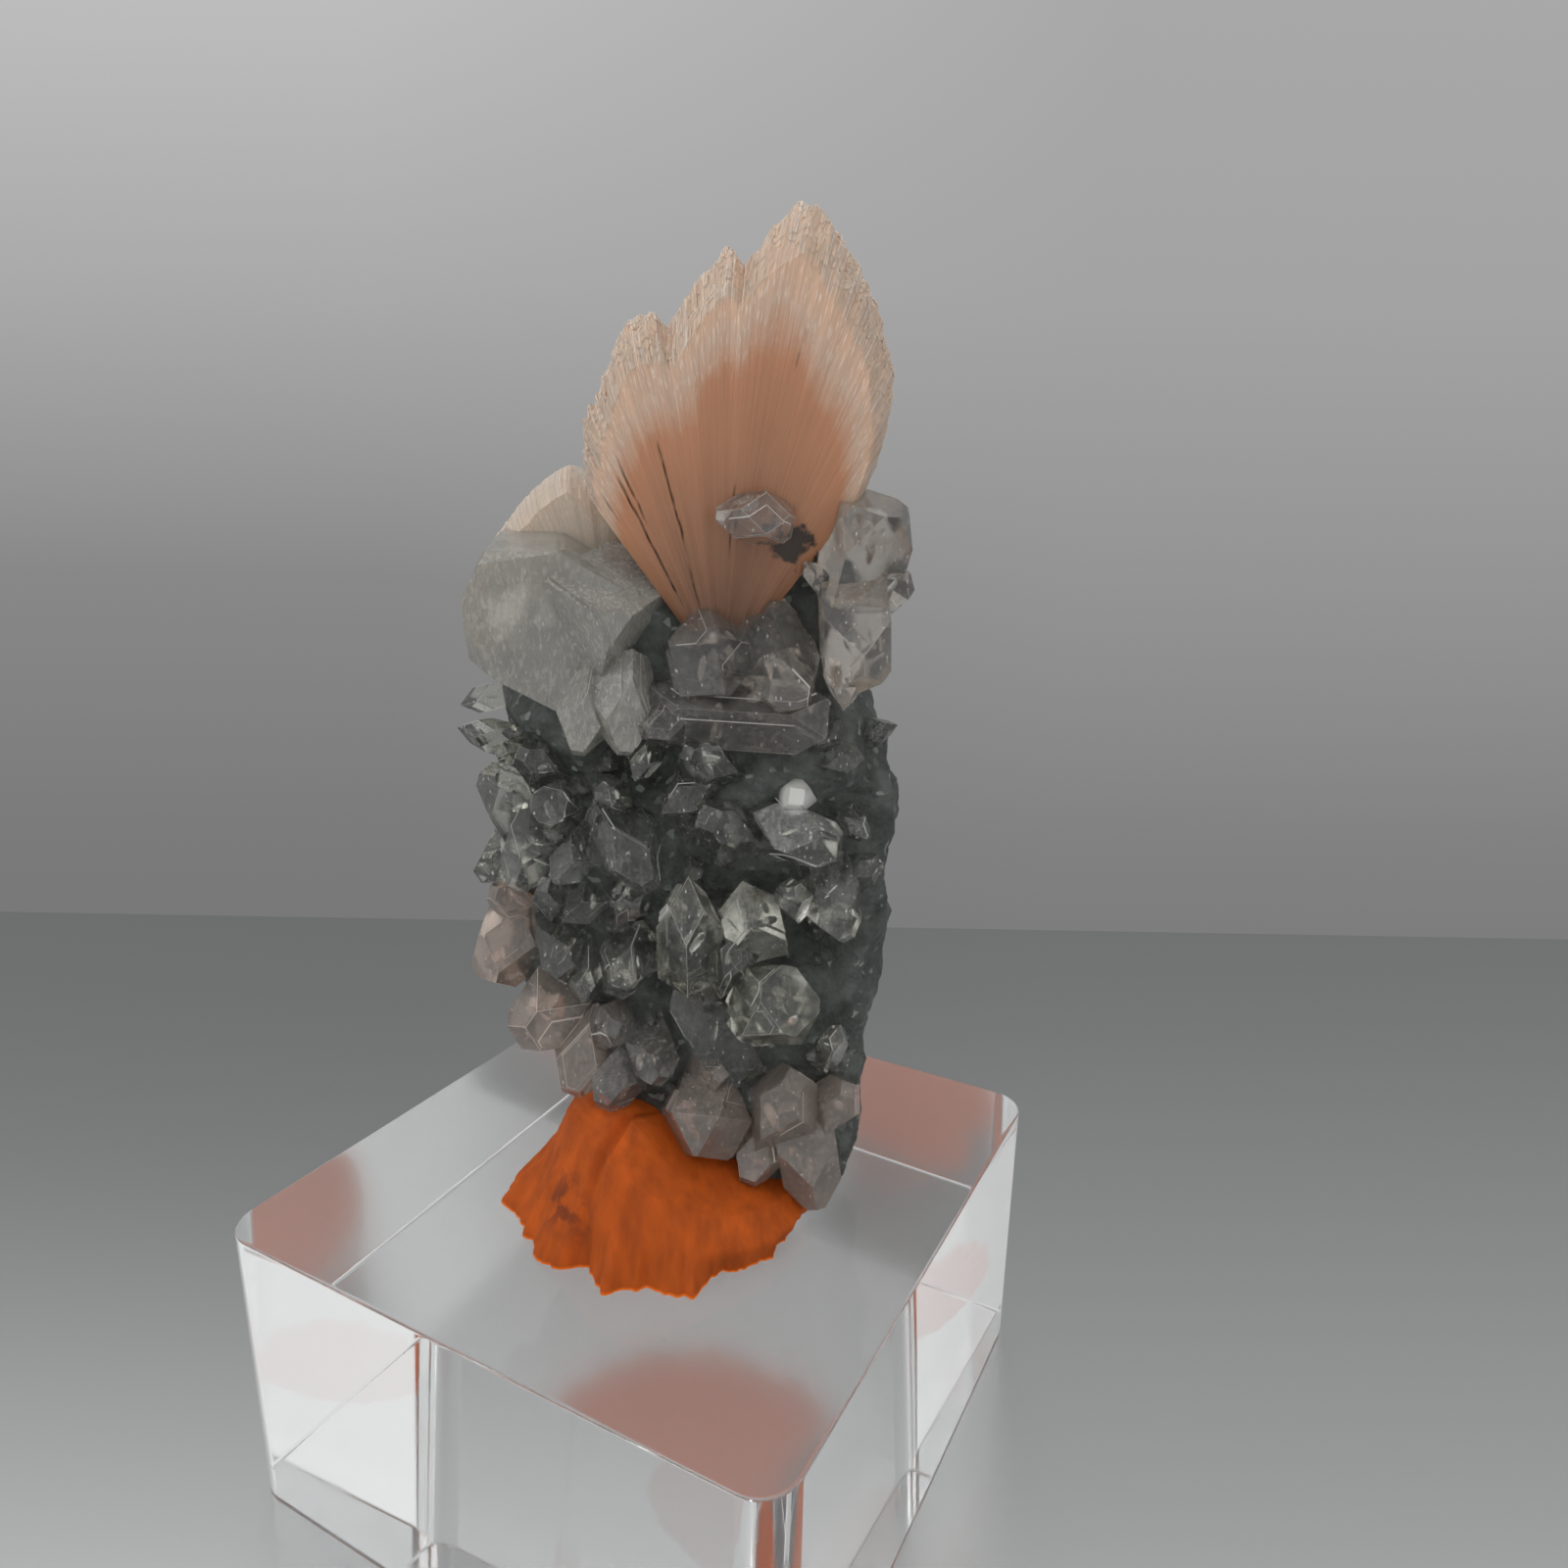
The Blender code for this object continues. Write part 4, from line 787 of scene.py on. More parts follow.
def blade_rises(thing, sheaf, chance):
    """How far each blade's end stands above the sheaf's dome, by vertex."""
    rises = {}
    for face in thing.data.polygons:
        corners = [thing.data.vertices[i].co for i in face.vertices]
        if min(corner.z for corner in corners) < TIP_LEVEL:
            continue
        middle = sum(corners, Vector()) / len(corners)
        bundle = noise.noise(Vector((middle.x / BUNDLE_SIZE[0], middle.y / BUNDLE_SIZE[1], 0.0)))
        rise = TIP_RISE + TIP_BUNDLE * abs(bundle) + TIP_OWN * chance.random()
        for index in face.vertices:
            rises[index] = sheaf.ragged * (rise + chance.uniform(-TIP_SLANT, TIP_SLANT))
            corner = thing.data.vertices[index].co
            corner.xy = middle.xy.lerp(corner.xy, TIP_TAPER)
    return rises


def crack_share(sheaf, angle, reach):
    """How much of a dark, splintery crack between the blades there is at a point of the front."""
    share = 0.0
    for middle, start, end in sheaf.cracks:
        if start < reach < end:
            wander = CRACK_WANDER * noise.noise(Vector((reach * 0.7, middle, 0.0)))
            whole = CRACK_WHOLE + CRACK_PATCHY * noise.noise(Vector((reach * 1.6, middle, 4.0)))
            ends = min(1.0, (reach - start) / CRACK_TAPER, (end - reach) / CRACK_TAPER)
            width = math.radians(angle - middle - wander) * reach / CRACK_WIDTH
            share = max(share, math.exp(-width ** 2) * max(0.0, min(1.0, whole)) * ends)
    return share


def sheaf_point(sheaf, flat, rise):
    """Carry one point of the flat sheaf to its place in the radiating fan."""
    low = sheaf.outline[0][0]
    high = sheaf.outline[-1][0]
    angle = low + (high - low) * (flat.x + 1.0) / 2
    length = between(sheaf.outline, angle)[0]
    length *= 1.0 - DOME_DROP * abs(flat.y) ** DOME_POWER
    for blades, height in OUTLINE_TEETH:
        tooth = noise.noise(Vector((flat.x * blades, flat.y * TEETH_THROUGH, 2.0)))
        length += sheaf.ragged * height * tooth
    length -= OUTLINE_INSET
    along = min(flat.z, 1.0)
    reach = sheaf.start + (length + rise - sheaf.start) * along
    turn = math.radians(angle)
    half = (sheaf.half_depth + sheaf.widening * reach) * (1.0 - EDGE_THINNING * flat.x ** EDGE_POWER)
    side = math.copysign(1.0, flat.y)
    for blades, height in FIBRE_RELIEF:
        rib = noise.noise(Vector((angle * blades, side * 5.0, reach * FIBRE_BEND)))
        half += height * rib * abs(flat.y)
    if flat.y < FRONT_LEVEL:
        half -= CRACK_DEPTH * crack_share(sheaf, angle, reach)
    x = sheaf.focus[0] + reach * math.sin(turn)
    z = sheaf.focus[1] + reach * math.cos(turn)
    return Vector((x, sheaf.middle_y + flat.y * half, z)), reach, angle, length


def stilbite(name, sheaf):
    """A sheaf of fused blades with a stepped end, and where each point lies along its blade."""
    thing = flat_sheaf(name, sheaf)
    rises = blade_rises(thing, sheaf, random.Random(SHEAF_SEED))
    mesh = thing.data
    along = mesh.attributes.new("along", "FLOAT", "POINT")
    across = mesh.attributes.new("across", "FLOAT", "POINT")
    crack = mesh.attributes.new("crack", "FLOAT", "POINT")
    for vertex in mesh.vertices:
        flat = vertex.co.copy()
        rise = rises.get(vertex.index, 0.0)
        vertex.co, reach, angle, length = sheaf_point(sheaf, flat, rise)
        along.data[vertex.index].value = reach / length
        across.data[vertex.index].value = angle
        if flat.y < FRONT_LEVEL:
            crack.data[vertex.index].value = crack_share(sheaf, angle, reach)
    return thing


def stand_of(spec):
    """The turn that stands a crystal along its axis."""
    return UPRIGHT.rotation_difference(spec.axis) @ Quaternion(UPRIGHT, spec.spin)


def growth_in_line(spec, chance):
    """A smaller crystal with the same bearing, standing out as a step on one side of a larger one."""
    share = chance.uniform(*GROWTH_SHARE)
    step = spec.half * chance.uniform(*GROWTH_STEP)
    slack = spec.half * (1.0 - share)
    offset = Vector((chance.uniform(-slack, slack), chance.uniform(-slack, slack), 0.0))
    offset[chance.randrange(2)] = chance.choice((-1.0, 1.0)) * (slack + step)
    offset.z = chance.uniform(*GROWTH_SHIFT) * spec.half
    lean = math.tan(POINT_LEAN) * (abs(offset.x) + abs(offset.y)) / math.sqrt(2.0)
    tip = spec.tip - lean - offset.z + step / math.cos(POINT_LEAN)
    flat = spec.flat - offset.z + spec.half * chance.uniform(*GROWTH_LONGER)
    at = spec.at + stand_of(spec) @ offset
    broken = [(point - outward * chance.uniform(*BREAK_STEP), outward)
              for point, outward in spec.broken]
    return spec._replace(at=at, half=spec.half * share, tip=tip, flat=min(flat, tip),
                         foot=spec.foot * GROWTH_FOOT, broken=broken)


def cut_crystal(spec, chance):
    """In edit mode, add one square prism and cut its corners back to its pointed faces."""
    stand = stand_of(spec)
    middle = spec.at + stand @ Vector((0.0, 0.0, (spec.flat - spec.foot) / 2))
    bpy.ops.mesh.primitive_cube_add(size=1.0, location=middle, rotation=stand.to_euler(),
                                    scale=(2 * spec.half, 2 * spec.half, spec.flat + spec.foot))
    bpy.ops.mesh.hide(unselected=True)
    lean = math.sin(POINT_LEAN)
    rise = math.cos(POINT_LEAN)
    ends = (1.0, -1.0) if spec.pointed_foot else (1.0,)
    for end in ends:
        for quarter in range(4):
            around = math.radians(45.0 + 90.0 * quarter)
            normal = Vector((lean * math.cos(around), lean * math.sin(around), end * rise))
            uneven = 1.0 + chance.uniform(-POINT_UNEVENNESS, POINT_UNEVENNESS)
            reach = spec.tip * uneven * rise
            bpy.ops.mesh.select_all(action="SELECT")
            bpy.ops.mesh.bisect(plane_co=spec.at + stand @ (normal * reach), plane_no=stand @ normal,
                                use_fill=True, clear_outer=True)
    for point, outward in spec.broken:
        bpy.ops.mesh.select_all(action="SELECT")
        bpy.ops.mesh.bisect(plane_co=point, plane_no=outward, use_fill=True, clear_outer=True)
    bpy.ops.mesh.select_all(action="SELECT")
    bpy.ops.mesh.reveal(select=False)


def empty_mesh_object(name):
    """A new object in edit mode with nothing in it yet."""
    deselect()
    bpy.ops.mesh.primitive_cube_add(size=1.0)
    thing = bpy.context.object
    thing.name = name
    bpy.ops.object.mode_set(mode="EDIT")
    bpy.ops.mesh.select_all(action="SELECT")
    bpy.ops.mesh.delete(type="VERT")
    return thing


def crystal_group(name, specs, steps):
    """Crystals grown together: each one and its parallel growths are joined in one solid."""
    thing = empty_mesh_object(name)
    chance = random.Random(name)
    shaping = random.Random(name + " growth")
    solids = list(specs)
    for spec in specs:
        solids += [growth_in_line(spec, shaping) for _ in range(round(spec.half * steps))]
    for count, spec in enumerate(solids):
        cut_crystal(spec, chance if count < len(specs) else shaping)
        if count:
            bpy.ops.mesh.intersect_boolean(operation="UNION", solver="EXACT")
    bpy.ops.mesh.select_all(action="SELECT")
    bpy.ops.mesh.remove_doubles(threshold=JOIN_DISTANCE)
    bpy.ops.mesh.dissolve_limited(angle_limit=FLAT_ANGLE)
    bpy.ops.object.mode_set(mode="OBJECT")
    return thing


def soften_edges(thing, width):
    """Wear the sharp edges off a crystal with one narrow bevel, and mark its faces as worn."""
    bevel = thing.modifiers.new("worn edges", "BEVEL")
    bevel.width = width
    bevel.segments = 1
    bevel.limit_method = "ANGLE"
    bevel.angle_limit = WORN_ANGLE
    bevel.use_clamp_overlap = True
    bpy.context.view_layer.objects.active = thing
    bpy.ops.object.modifier_apply(modifier=bevel.name)
    mesh = thing.data
    worn = mesh.attributes.new("worn", "FLOAT", "FACE")
    for face in mesh.polygons:
        corners = [mesh.vertices[i].co for i in face.vertices]
        longest = max((a - b).length for a in corners for b in corners)
        if face.area < longest * width * WORN_WIDTHS:
            worn.data[face.index].value = 1.0


def healed_cracks(thing, specs, chance):
    """Thin hollow lenses inside the crystals, which show as silvery veils."""
    bpy.context.view_layer.objects.active = thing
    bpy.ops.object.mode_set(mode="EDIT")
    bpy.ops.mesh.select_all(action="DESELECT")
    for spec in specs:
        stand = stand_of(spec)
        for _ in range(round(spec.half * HEALED_CRACKS)):
            reach = spec.half * HEALED_SPREAD
            offset = Vector((chance.uniform(-reach, reach), chance.uniform(-reach, reach),
                             chance.uniform(*HEALED_ALONG) * min(spec.flat, spec.tip * HEALED_TIP)))
            size = spec.half * chance.uniform(*HEALED_LENGTH)
            turn = [chance.uniform(0.0, math.tau) for _ in range(3)]
            bpy.ops.mesh.primitive_ico_sphere_add(
                subdivisions=2, radius=1.0, location=spec.at + stand @ offset, rotation=turn,
                scale=(size, size * chance.uniform(*HEALED_WIDTH), HEALED_THICKNESS))
            bpy.ops.mesh.flip_normals()
    bpy.ops.object.mode_set(mode="OBJECT")


def front_of_rock(stone, x, z):
    """Where a straight look at the front meets the stone, and the way the stone faces there."""
    inverse = PLACE.inverted()
    start = PLACE @ Vector((x, LOOK_FROM, z))
    look = (PLACE.to_3x3() @ Vector((0.0, 1.0, 0.0))).normalized()
    hit, place, normal, _ = stone.ray_cast(start, look)
    if not hit:
        return None
    return inverse @ place, (inverse.to_3x3() @ normal).normalized()


def inside_large_crystal(point):
    return any((point - spec.at).length < spec.half * CRYSTAL_CORE
               for specs in CRYSTALS.values() for spec in specs)


def druse_shapes(chance):
    """A few small crystals of unit half width, each with its parallel growths."""
    shapes = []
    for number in range(DRUSE_SHAPES):
        spec = crystal((0.0, 0.0, 0.0), UPRIGHT, 0.0, 1.0, chance.uniform(*DRUSE_TIP),
                       flat=chance.uniform(*DRUSE_FLAT), foot=DRUSE_FOOT)
        shapes.append(crystal_group(f"druse_shape_{number}", (spec,), DRUSE_GROWTHS))
    return shapes


def druse(stone):
    """The carpet of small crystals, each a copy of a shape with its own mesh, joined in one."""
    chance = random.Random(DRUSE_SEED)
    shapes = druse_shapes(chance)
    left, right, low, high = DRUSE_AREA
    small, large = DRUSE_HALF
    copies = []
    while len(copies) < DRUSE_COUNT:
        found = front_of_rock(stone, chance.uniform(left, right), chance.uniform(low, high))
        half = small + (large - small) * chance.random() ** DRUSE_POWER
        tilt = Vector([chance.uniform(-1.0, 1.0) for _ in range(3)]) * DRUSE_TILT
        spin = chance.uniform(0.0, math.tau)
        shape = chance.choice(shapes)
        if found is None or inside_large_crystal(found[0]):
            continue
        spot, facing = found
        axis = (facing + tilt).normalized()
        stand = UPRIGHT.rotation_difference(axis) @ Quaternion(UPRIGHT, spin)
        at = spot - facing * half * DRUSE_SUNK
        copy = shape.copy()
        copy.data = shape.data.copy()
        copy.data.transform(Matrix.Translation(at) @ stand.to_matrix().to_4x4()
                            @ Matrix.Scale(half, 4))
        bpy.context.collection.objects.link(copy)
        copies.append(copy)
    deselect()
    for copy in copies:
        copy.select_set(True)
    bpy.context.view_layer.objects.active = copies[0]
    bpy.ops.object.join()
    thing = bpy.context.object
    thing.name = "apophyllite_druse"
    for shape in shapes:
        bpy.data.objects.remove(shape, do_unlink=True)
    return thing


def putty_point(turn, rise):
    """One point of the putty: from its ragged foot up to where it grips the specimen."""
    compass = PUTTY_ROWS[0][0] + math.degrees(turn)
    reach, height = between(PUTTY_ROWS, compass)
    scale, climb = between(PUTTY_PROFILE, rise)
    evened = min(1.0, PUTTY_EVENING * rise)
    reach += (PUTTY_REACH - reach) * evened * evened * (3.0 - 2.0 * evened)
    bearing = math.radians(compass)
    outward = Vector((math.cos(bearing), math.sin(bearing), 0.0))
    ragged = sum(far * noise.noise(outward * RAGGED_RADIUS / size) for size, far in PUTTY_RAGGED)
    ragged *= (1.0 - rise) ** 2
    point = outward * (reach * scale + ragged)
    point += Vector((PUTTY_MIDDLE[0], PUTTY_MIDDLE[1], height * climb - PUTTY_SUNK))
    lump = PUTTY_LUMPS[1] * noise.noise(point / PUTTY_LUMPS[0]) * climb
    fold_angle, fold_half, fold_depth = PUTTY_FOLD
    fold = math.exp(-(((compass - fold_angle + 180.0) % 360.0 - 180.0) / fold_half) ** 2)
    ridge = math.sin(math.tau * (point - Vector(PRINT_MIDDLE)).length / PRINT_SPACING)
    lump += PRINT_HEIGHT * ridge * min(1.0, PRINT_ONSET * rise) - fold_depth * fold * climb
    return point + outward * lump + Vector((0.0, 0.0, PUTTY_LIFT * lump))


def add_node(tree, kind, inputs=(), stops=(), **settings):
    """Add a node, set its settings and colour stops, and give its inputs a value, or a link from
    a socket or from another node's first output."""
    node = tree.nodes.new("ShaderNode" + kind)
    for name, value in settings.items():
        setattr(node, name, value)
    for place, (position, colour) in enumerate(stops):
        elements = node.color_ramp.elements
        stop = elements[place] if place < len(elements) else elements.new(position)
        stop.position = position
        stop.color = with_alpha(colour)
    for name, value in dict(inputs).items():
        if isinstance(value, bpy.types.Node):
            value = value.outputs[0]
        if isinstance(value, bpy.types.NodeSocket):
            tree.links.new(value, node.inputs[name])
        else:
            node.inputs[name].default_value = value
    return node


def new_material(name):
    material = bpy.data.materials.new(name)
    material.use_nodes = True
    material.node_tree.nodes.clear()
    coords = add_node(material.node_tree, "TexCoord")
    return material, material.node_tree, coords.outputs["Object"]


def polished_acrylic(settings):
    # Cast acrylic with polished faces: very clear, with faint rubbed hairlines on its skin
    material, tree, where = new_material("polished_cast_acrylic")
    stretched = add_node(tree, "Mapping", {
        "Vector": where, "Rotation": HAIRLINE_TURN, "Scale": [per_mm(size) for size in HAIRLINE_SIZE]})
    hairlines = add_node(tree, "TexNoise", {"Vector": stretched, "Scale": 1.0, "Detail": 4.0})
    rubbed = add_node(tree, "TexNoise", {"Vector": where, "Scale": per_mm(RUBBED_SIZE), "Detail": 3.0})
    rough = add_node(tree, "MapRange", {
        "Value": rubbed, "From Min": 0.45, "From Max": 0.8, "To Min": 0.01, "To Max": 0.09})
    bump = add_node(tree, "Bump", {"Height": hairlines, "Strength": 0.05, "Distance": 0.01 * MM})
    height = add_node(tree, "SeparateXYZ", {0: where}).outputs["Z"]
    through = add_node(tree, "MapRange", {
        "Value": height, "From Min": BLOCK_HIGH.z - HAZE_DEPTH * MM, "From Max": BLOCK_HIGH.z,
        "To Min": 1.0, "To Max": 1.0 - TOP_HAZE})
    shader = add_node(tree, "BsdfPrincipled", {
        "Base Color": with_alpha(settings.block_colour), "Roughness": rough, "IOR": 1.49,
        "Transmission Weight": through, "Normal": bump})
    add_node(tree, "OutputMaterial", {"Surface": shader})
    return material


def thumbed_putty(settings):
    # Mounting putty worked on by thumb: matte, with darker blots by its fold; its underside and thin
    # edges where it meets the block carry painted light, a brighter colour that also glows faintly
    material, tree, where = new_material("thumbed_putty")
    pulled = add_node(tree, "Mapping", {
        "Vector": where, "Rotation": MOTTLE_TURN, "Scale": MOTTLE_STRETCH})
    mottle = add_node(tree, "TexNoise", {"Vector": pulled, "Scale": per_mm(MOTTLE_SIZE), "Detail": 6.0})
    putty = tuple(settings.putty_colour)
    colour = add_node(tree, "ValToRGB", {"Fac": mottle}, stops=shades(putty, MOTTLE_SHADES))
    # Darker blots in patches by the fold
    away = add_node(tree, "VectorMath", {0: where, 1: PLACE @ Vector(DARK_BLOTS_PLACE)},
                    operation="DISTANCE").outputs["Value"]
    close = add_node(tree, "MapRange", {
        "Value": away, "From Min": 0.5 * DARK_BLOTS_REACH * MM, "From Max": DARK_BLOTS_REACH * MM,
        "To Min": DARK_BLOTS_STRENGTH, "To Max": 0.0})
    patches = add_node(tree, "TexNoise", {"Vector": where, "Scale": per_mm(BLOT_SIZE), "Detail": 4.0})
    blots = add_node(tree, "MapRange", {"Value": patches, "From Min": 0.46, "From Max": 0.58})
    darker_blots = add_node(tree, "Math", {0: close, 1: blots}, operation="MULTIPLY")
    blotted = add_node(tree, "Mix", {0: darker_blots, 6: colour, 7: with_alpha(srgb(DARK_BLOTS_COLOUR))},
                     data_type="RGBA").outputs[2]
    # Painted light: the underside and the foot by the block get a brighter colour and glow faintly
    height = add_node(tree, "SeparateXYZ", {0: where}).outputs["Z"]
    contact = add_node(tree, "MapRange", {
        "Value": height, "From Min": BLOCK_HIGH.z, "From Max": BLOCK_HIGH.z + CONTACT_DEPTH * MM,
        "To Min": 1.0, "To Max": 0.0})
    painted_underside_light = with_alpha(min(1.0, share * c) for share, c in zip(UNDERSIDE_LIGHT_SHARES, putty))
    painted_glow = add_node(tree, "Math", {0: contact, 1: UNDERSIDE_GLOW_STRENGTH}, operation="MULTIPLY")
    with_painted_underside = add_node(tree, "Mix", {0: contact, 6: blotted, 7: painted_underside_light}, data_type="RGBA").outputs[2]
    grain = add_node(tree, "TexNoise", {"Vector": where, "Scale": per_mm(PUTTY_GRAIN), "Detail": 4.0})
    bump = add_node(tree, "Bump", {"Height": grain, "Strength": 0.5, "Distance": 0.08 * MM})
    shader = add_node(tree, "BsdfPrincipled", {
        "Base Color": with_painted_underside, "Roughness": 0.75, "IOR": 1.35, "Subsurface Weight": 0.35,
        "Subsurface Radius": (1.0, 0.35, 0.12), "Subsurface Scale": 1.2 * MM, "Normal": bump,
        "Emission Color": painted_underside_light, "Emission Strength": painted_glow})
    add_node(tree, "OutputMaterial", {"Surface": shader})
    return material


def broken_basalt(settings):
    # Freshly broken basalt: dark grey-green, granular, with bright specks of feldspar
    material, tree, where = new_material("broken_basalt")
    blotch = add_node(tree, "TexNoise", {
        "Vector": where, "Scale": per_mm(BLOTCH_SIZE), "Detail": 8.0, "Roughness": 0.65})
    colour = add_node(tree, "ValToRGB", {"Fac": blotch},
                      stops=shades(settings.basalt_colour, BLOTCH_SHADES))
    grains = add_node(tree, "TexVoronoi", {"Vector": where, "Scale": per_mm(GRAIN_SIZE)})
    kind = grains.outputs["Color"]
    speck = add_node(tree, "MapRange", {"Value": kind, "From Min": 0.82, "From Max": 0.95})
    mixed = add_node(tree, "Mix", {0: speck, 6: colour, 7: with_alpha(srgb(FELDSPAR_COLOUR))},
                     data_type="RGBA").outputs[2]
    fine = add_node(tree, "TexNoise", {
        "Vector": where, "Scale": per_mm(GRIT_SIZE), "Detail": 6.0, "Roughness": 0.7})
    grit = add_node(tree, "Bump", {"Height": fine, "Strength": 0.9, "Distance": 0.2 * MM})
    bump = add_node(tree, "Bump", {
        "Height": grains.outputs["Distance"], "Strength": 0.6, "Distance": 0.15 * MM, "Normal": grit})
    gloss = add_node(tree, "MapRange", {
        "Value": kind, "From Min": 0.0, "From Max": 1.0, "To Min": 0.75, "To Max": 0.28})
    shader = add_node(tree, "BsdfPrincipled", {"Base Color": mixed, "Roughness": gloss, "Normal": bump})
    add_node(tree, "OutputMaterial", {"Surface": shader})
    return material


def silky_stilbite(name, core, veil, rim):
    # Stilbite: silky along its fused blades, peach inside, with a pale veil below its sparkling blade
    # ends, painted glints near them, and painted shade in its cracks and in one hollow; its core
    # darkens towards the base partly as painted shade
    material, tree, where = new_material(name)
    along, across, crack = (
        add_node(tree, "Attribute", attribute_name=mark).outputs["Fac"]
        for mark in ("along", "across", "crack"))
    growth = add_node(tree, "CombineXYZ", {"X": across, "Y": along})
    streak_scale = add_node(tree, "Mapping", {"Vector": growth, "Scale": STREAK_SCALE})
    streaks = add_node(tree, "TexNoise", {"Vector": streak_scale, "Scale": 1.0, "Detail": 5.0})
    cloud = add_node(tree, "TexNoise", {"Vector": where, "Scale": per_mm(CLOUD_SIZE), "Detail": 3.0})
    wander = add_node(tree, "Math", {0: streaks, 1: cloud}, operation="ADD")
    shift = add_node(tree, "Math", {0: wander, 1: ZONE_WANDER, 2: along}, operation="MULTIPLY_ADD")
    zones = add_node(tree, "MapRange", {
        "Value": shift, "From Min": ZONE_WANDER, "From Max": 1.0 + ZONE_WANDER})
    # Painted shade in part: the core's stops darken towards the blades' base
    stops = (*shades(core, CORE_SHADES), (VEIL_FROM, veil), (RIM_FROM, rim))
    tint = add_node(tree, "ValToRGB", {"Fac": zones}, stops=stops)
    fibre_scale = add_node(tree, "Mapping", {"Vector": growth, "Scale": FIBRE_SCALE})
    fibres = add_node(tree, "TexNoise", {"Vector": fibre_scale, "Scale": 1.0, "Detail": 4.0})
    shade = add_node(tree, "MapRange", {
        "Value": fibres, "From Min": 0.3, "From Max": 0.7, "To Min": 0.86, "To Max": 1.12})
    lined = add_node(tree, "VectorMath", {0: tint, 1: shade}, operation="MULTIPLY")
    glint_scale = add_node(tree, "Mapping", {"Vector": growth, "Scale": GLINT_SCALE})
    glints = add_node(tree, "TexNoise", {"Vector": glint_scale, "Scale": 1.0, "Detail": 2.0})
    outer = add_node(tree, "MapRange", {
        "Value": along, "From Min": 0.8, "From Max": 1.0, "To Max": 0.45})
    bright = add_node(tree, "MapRange", {"Value": glints, "From Min": 0.54, "From Max": 0.66})
    sparkle = add_node(tree, "Math", {0: outer, 1: bright}, operation="MULTIPLY")
    sparkling = add_node(tree, "Mix", {0: sparkle, 6: lined, 7: with_alpha(srgb(GLINT_COLOUR))},
                         data_type="RGBA").outputs[2]
    # Painted shade: a dark patch where a hollow beside the small crystal would lie in shade
    from_shaded_hollow = add_node(tree, "VectorMath", {0: where, 1: PLACE @ Vector(SHADED_HOLLOW_PLACE)},
                         operation="DISTANCE").outputs["Value"]
    torn = add_node(tree, "TexNoise", {"Vector": where, "Scale": per_mm(TEAR_SIZE), "Detail": 3.0})
    ragged = add_node(tree, "MapRange", {
        "Value": torn, "From Min": 0.3, "From Max": 0.7, "To Min": 0.5, "To Max": 1.6})
    rim_of_shaded_hollow = add_node(tree, "Math", {0: from_shaded_hollow, 1: ragged}, operation="MULTIPLY")
    hollow_shade = add_node(tree, "MapRange", {
        "Value": rim_of_shaded_hollow, "From Min": 0.7 * SHADED_HOLLOW_REACH * MM, "From Max": SHADED_HOLLOW_REACH * MM,
        "To Min": 1.0, "To Max": 0.0})
    # Painted shade: the cracks and the hollow take one dark colour
    dark = add_node(tree, "Math", {0: hollow_shade, 1: crack}, operation="MAXIMUM")
    with_painted_shade = add_node(tree, "Mix", {0: dark, 6: sparkling, 7: with_alpha(srgb(PAINTED_SHADE_COLOUR))},
                     data_type="RGBA").outputs[2]
    bump = add_node(tree, "Bump", {"Height": fibres, "Strength": 0.3, "Distance": 0.04 * MM})
    shader = add_node(tree, "BsdfPrincipled", {
        "Base Color": with_painted_shade, "Roughness": 0.34, "IOR": 1.5, "Subsurface Weight": 0.8,
        "Subsurface Radius": (1.0, 0.85, 0.75), "Subsurface Scale": 0.5 * MM, "Normal": bump})
    add_node(tree, "OutputMaterial", {"Surface": shader})
    return material


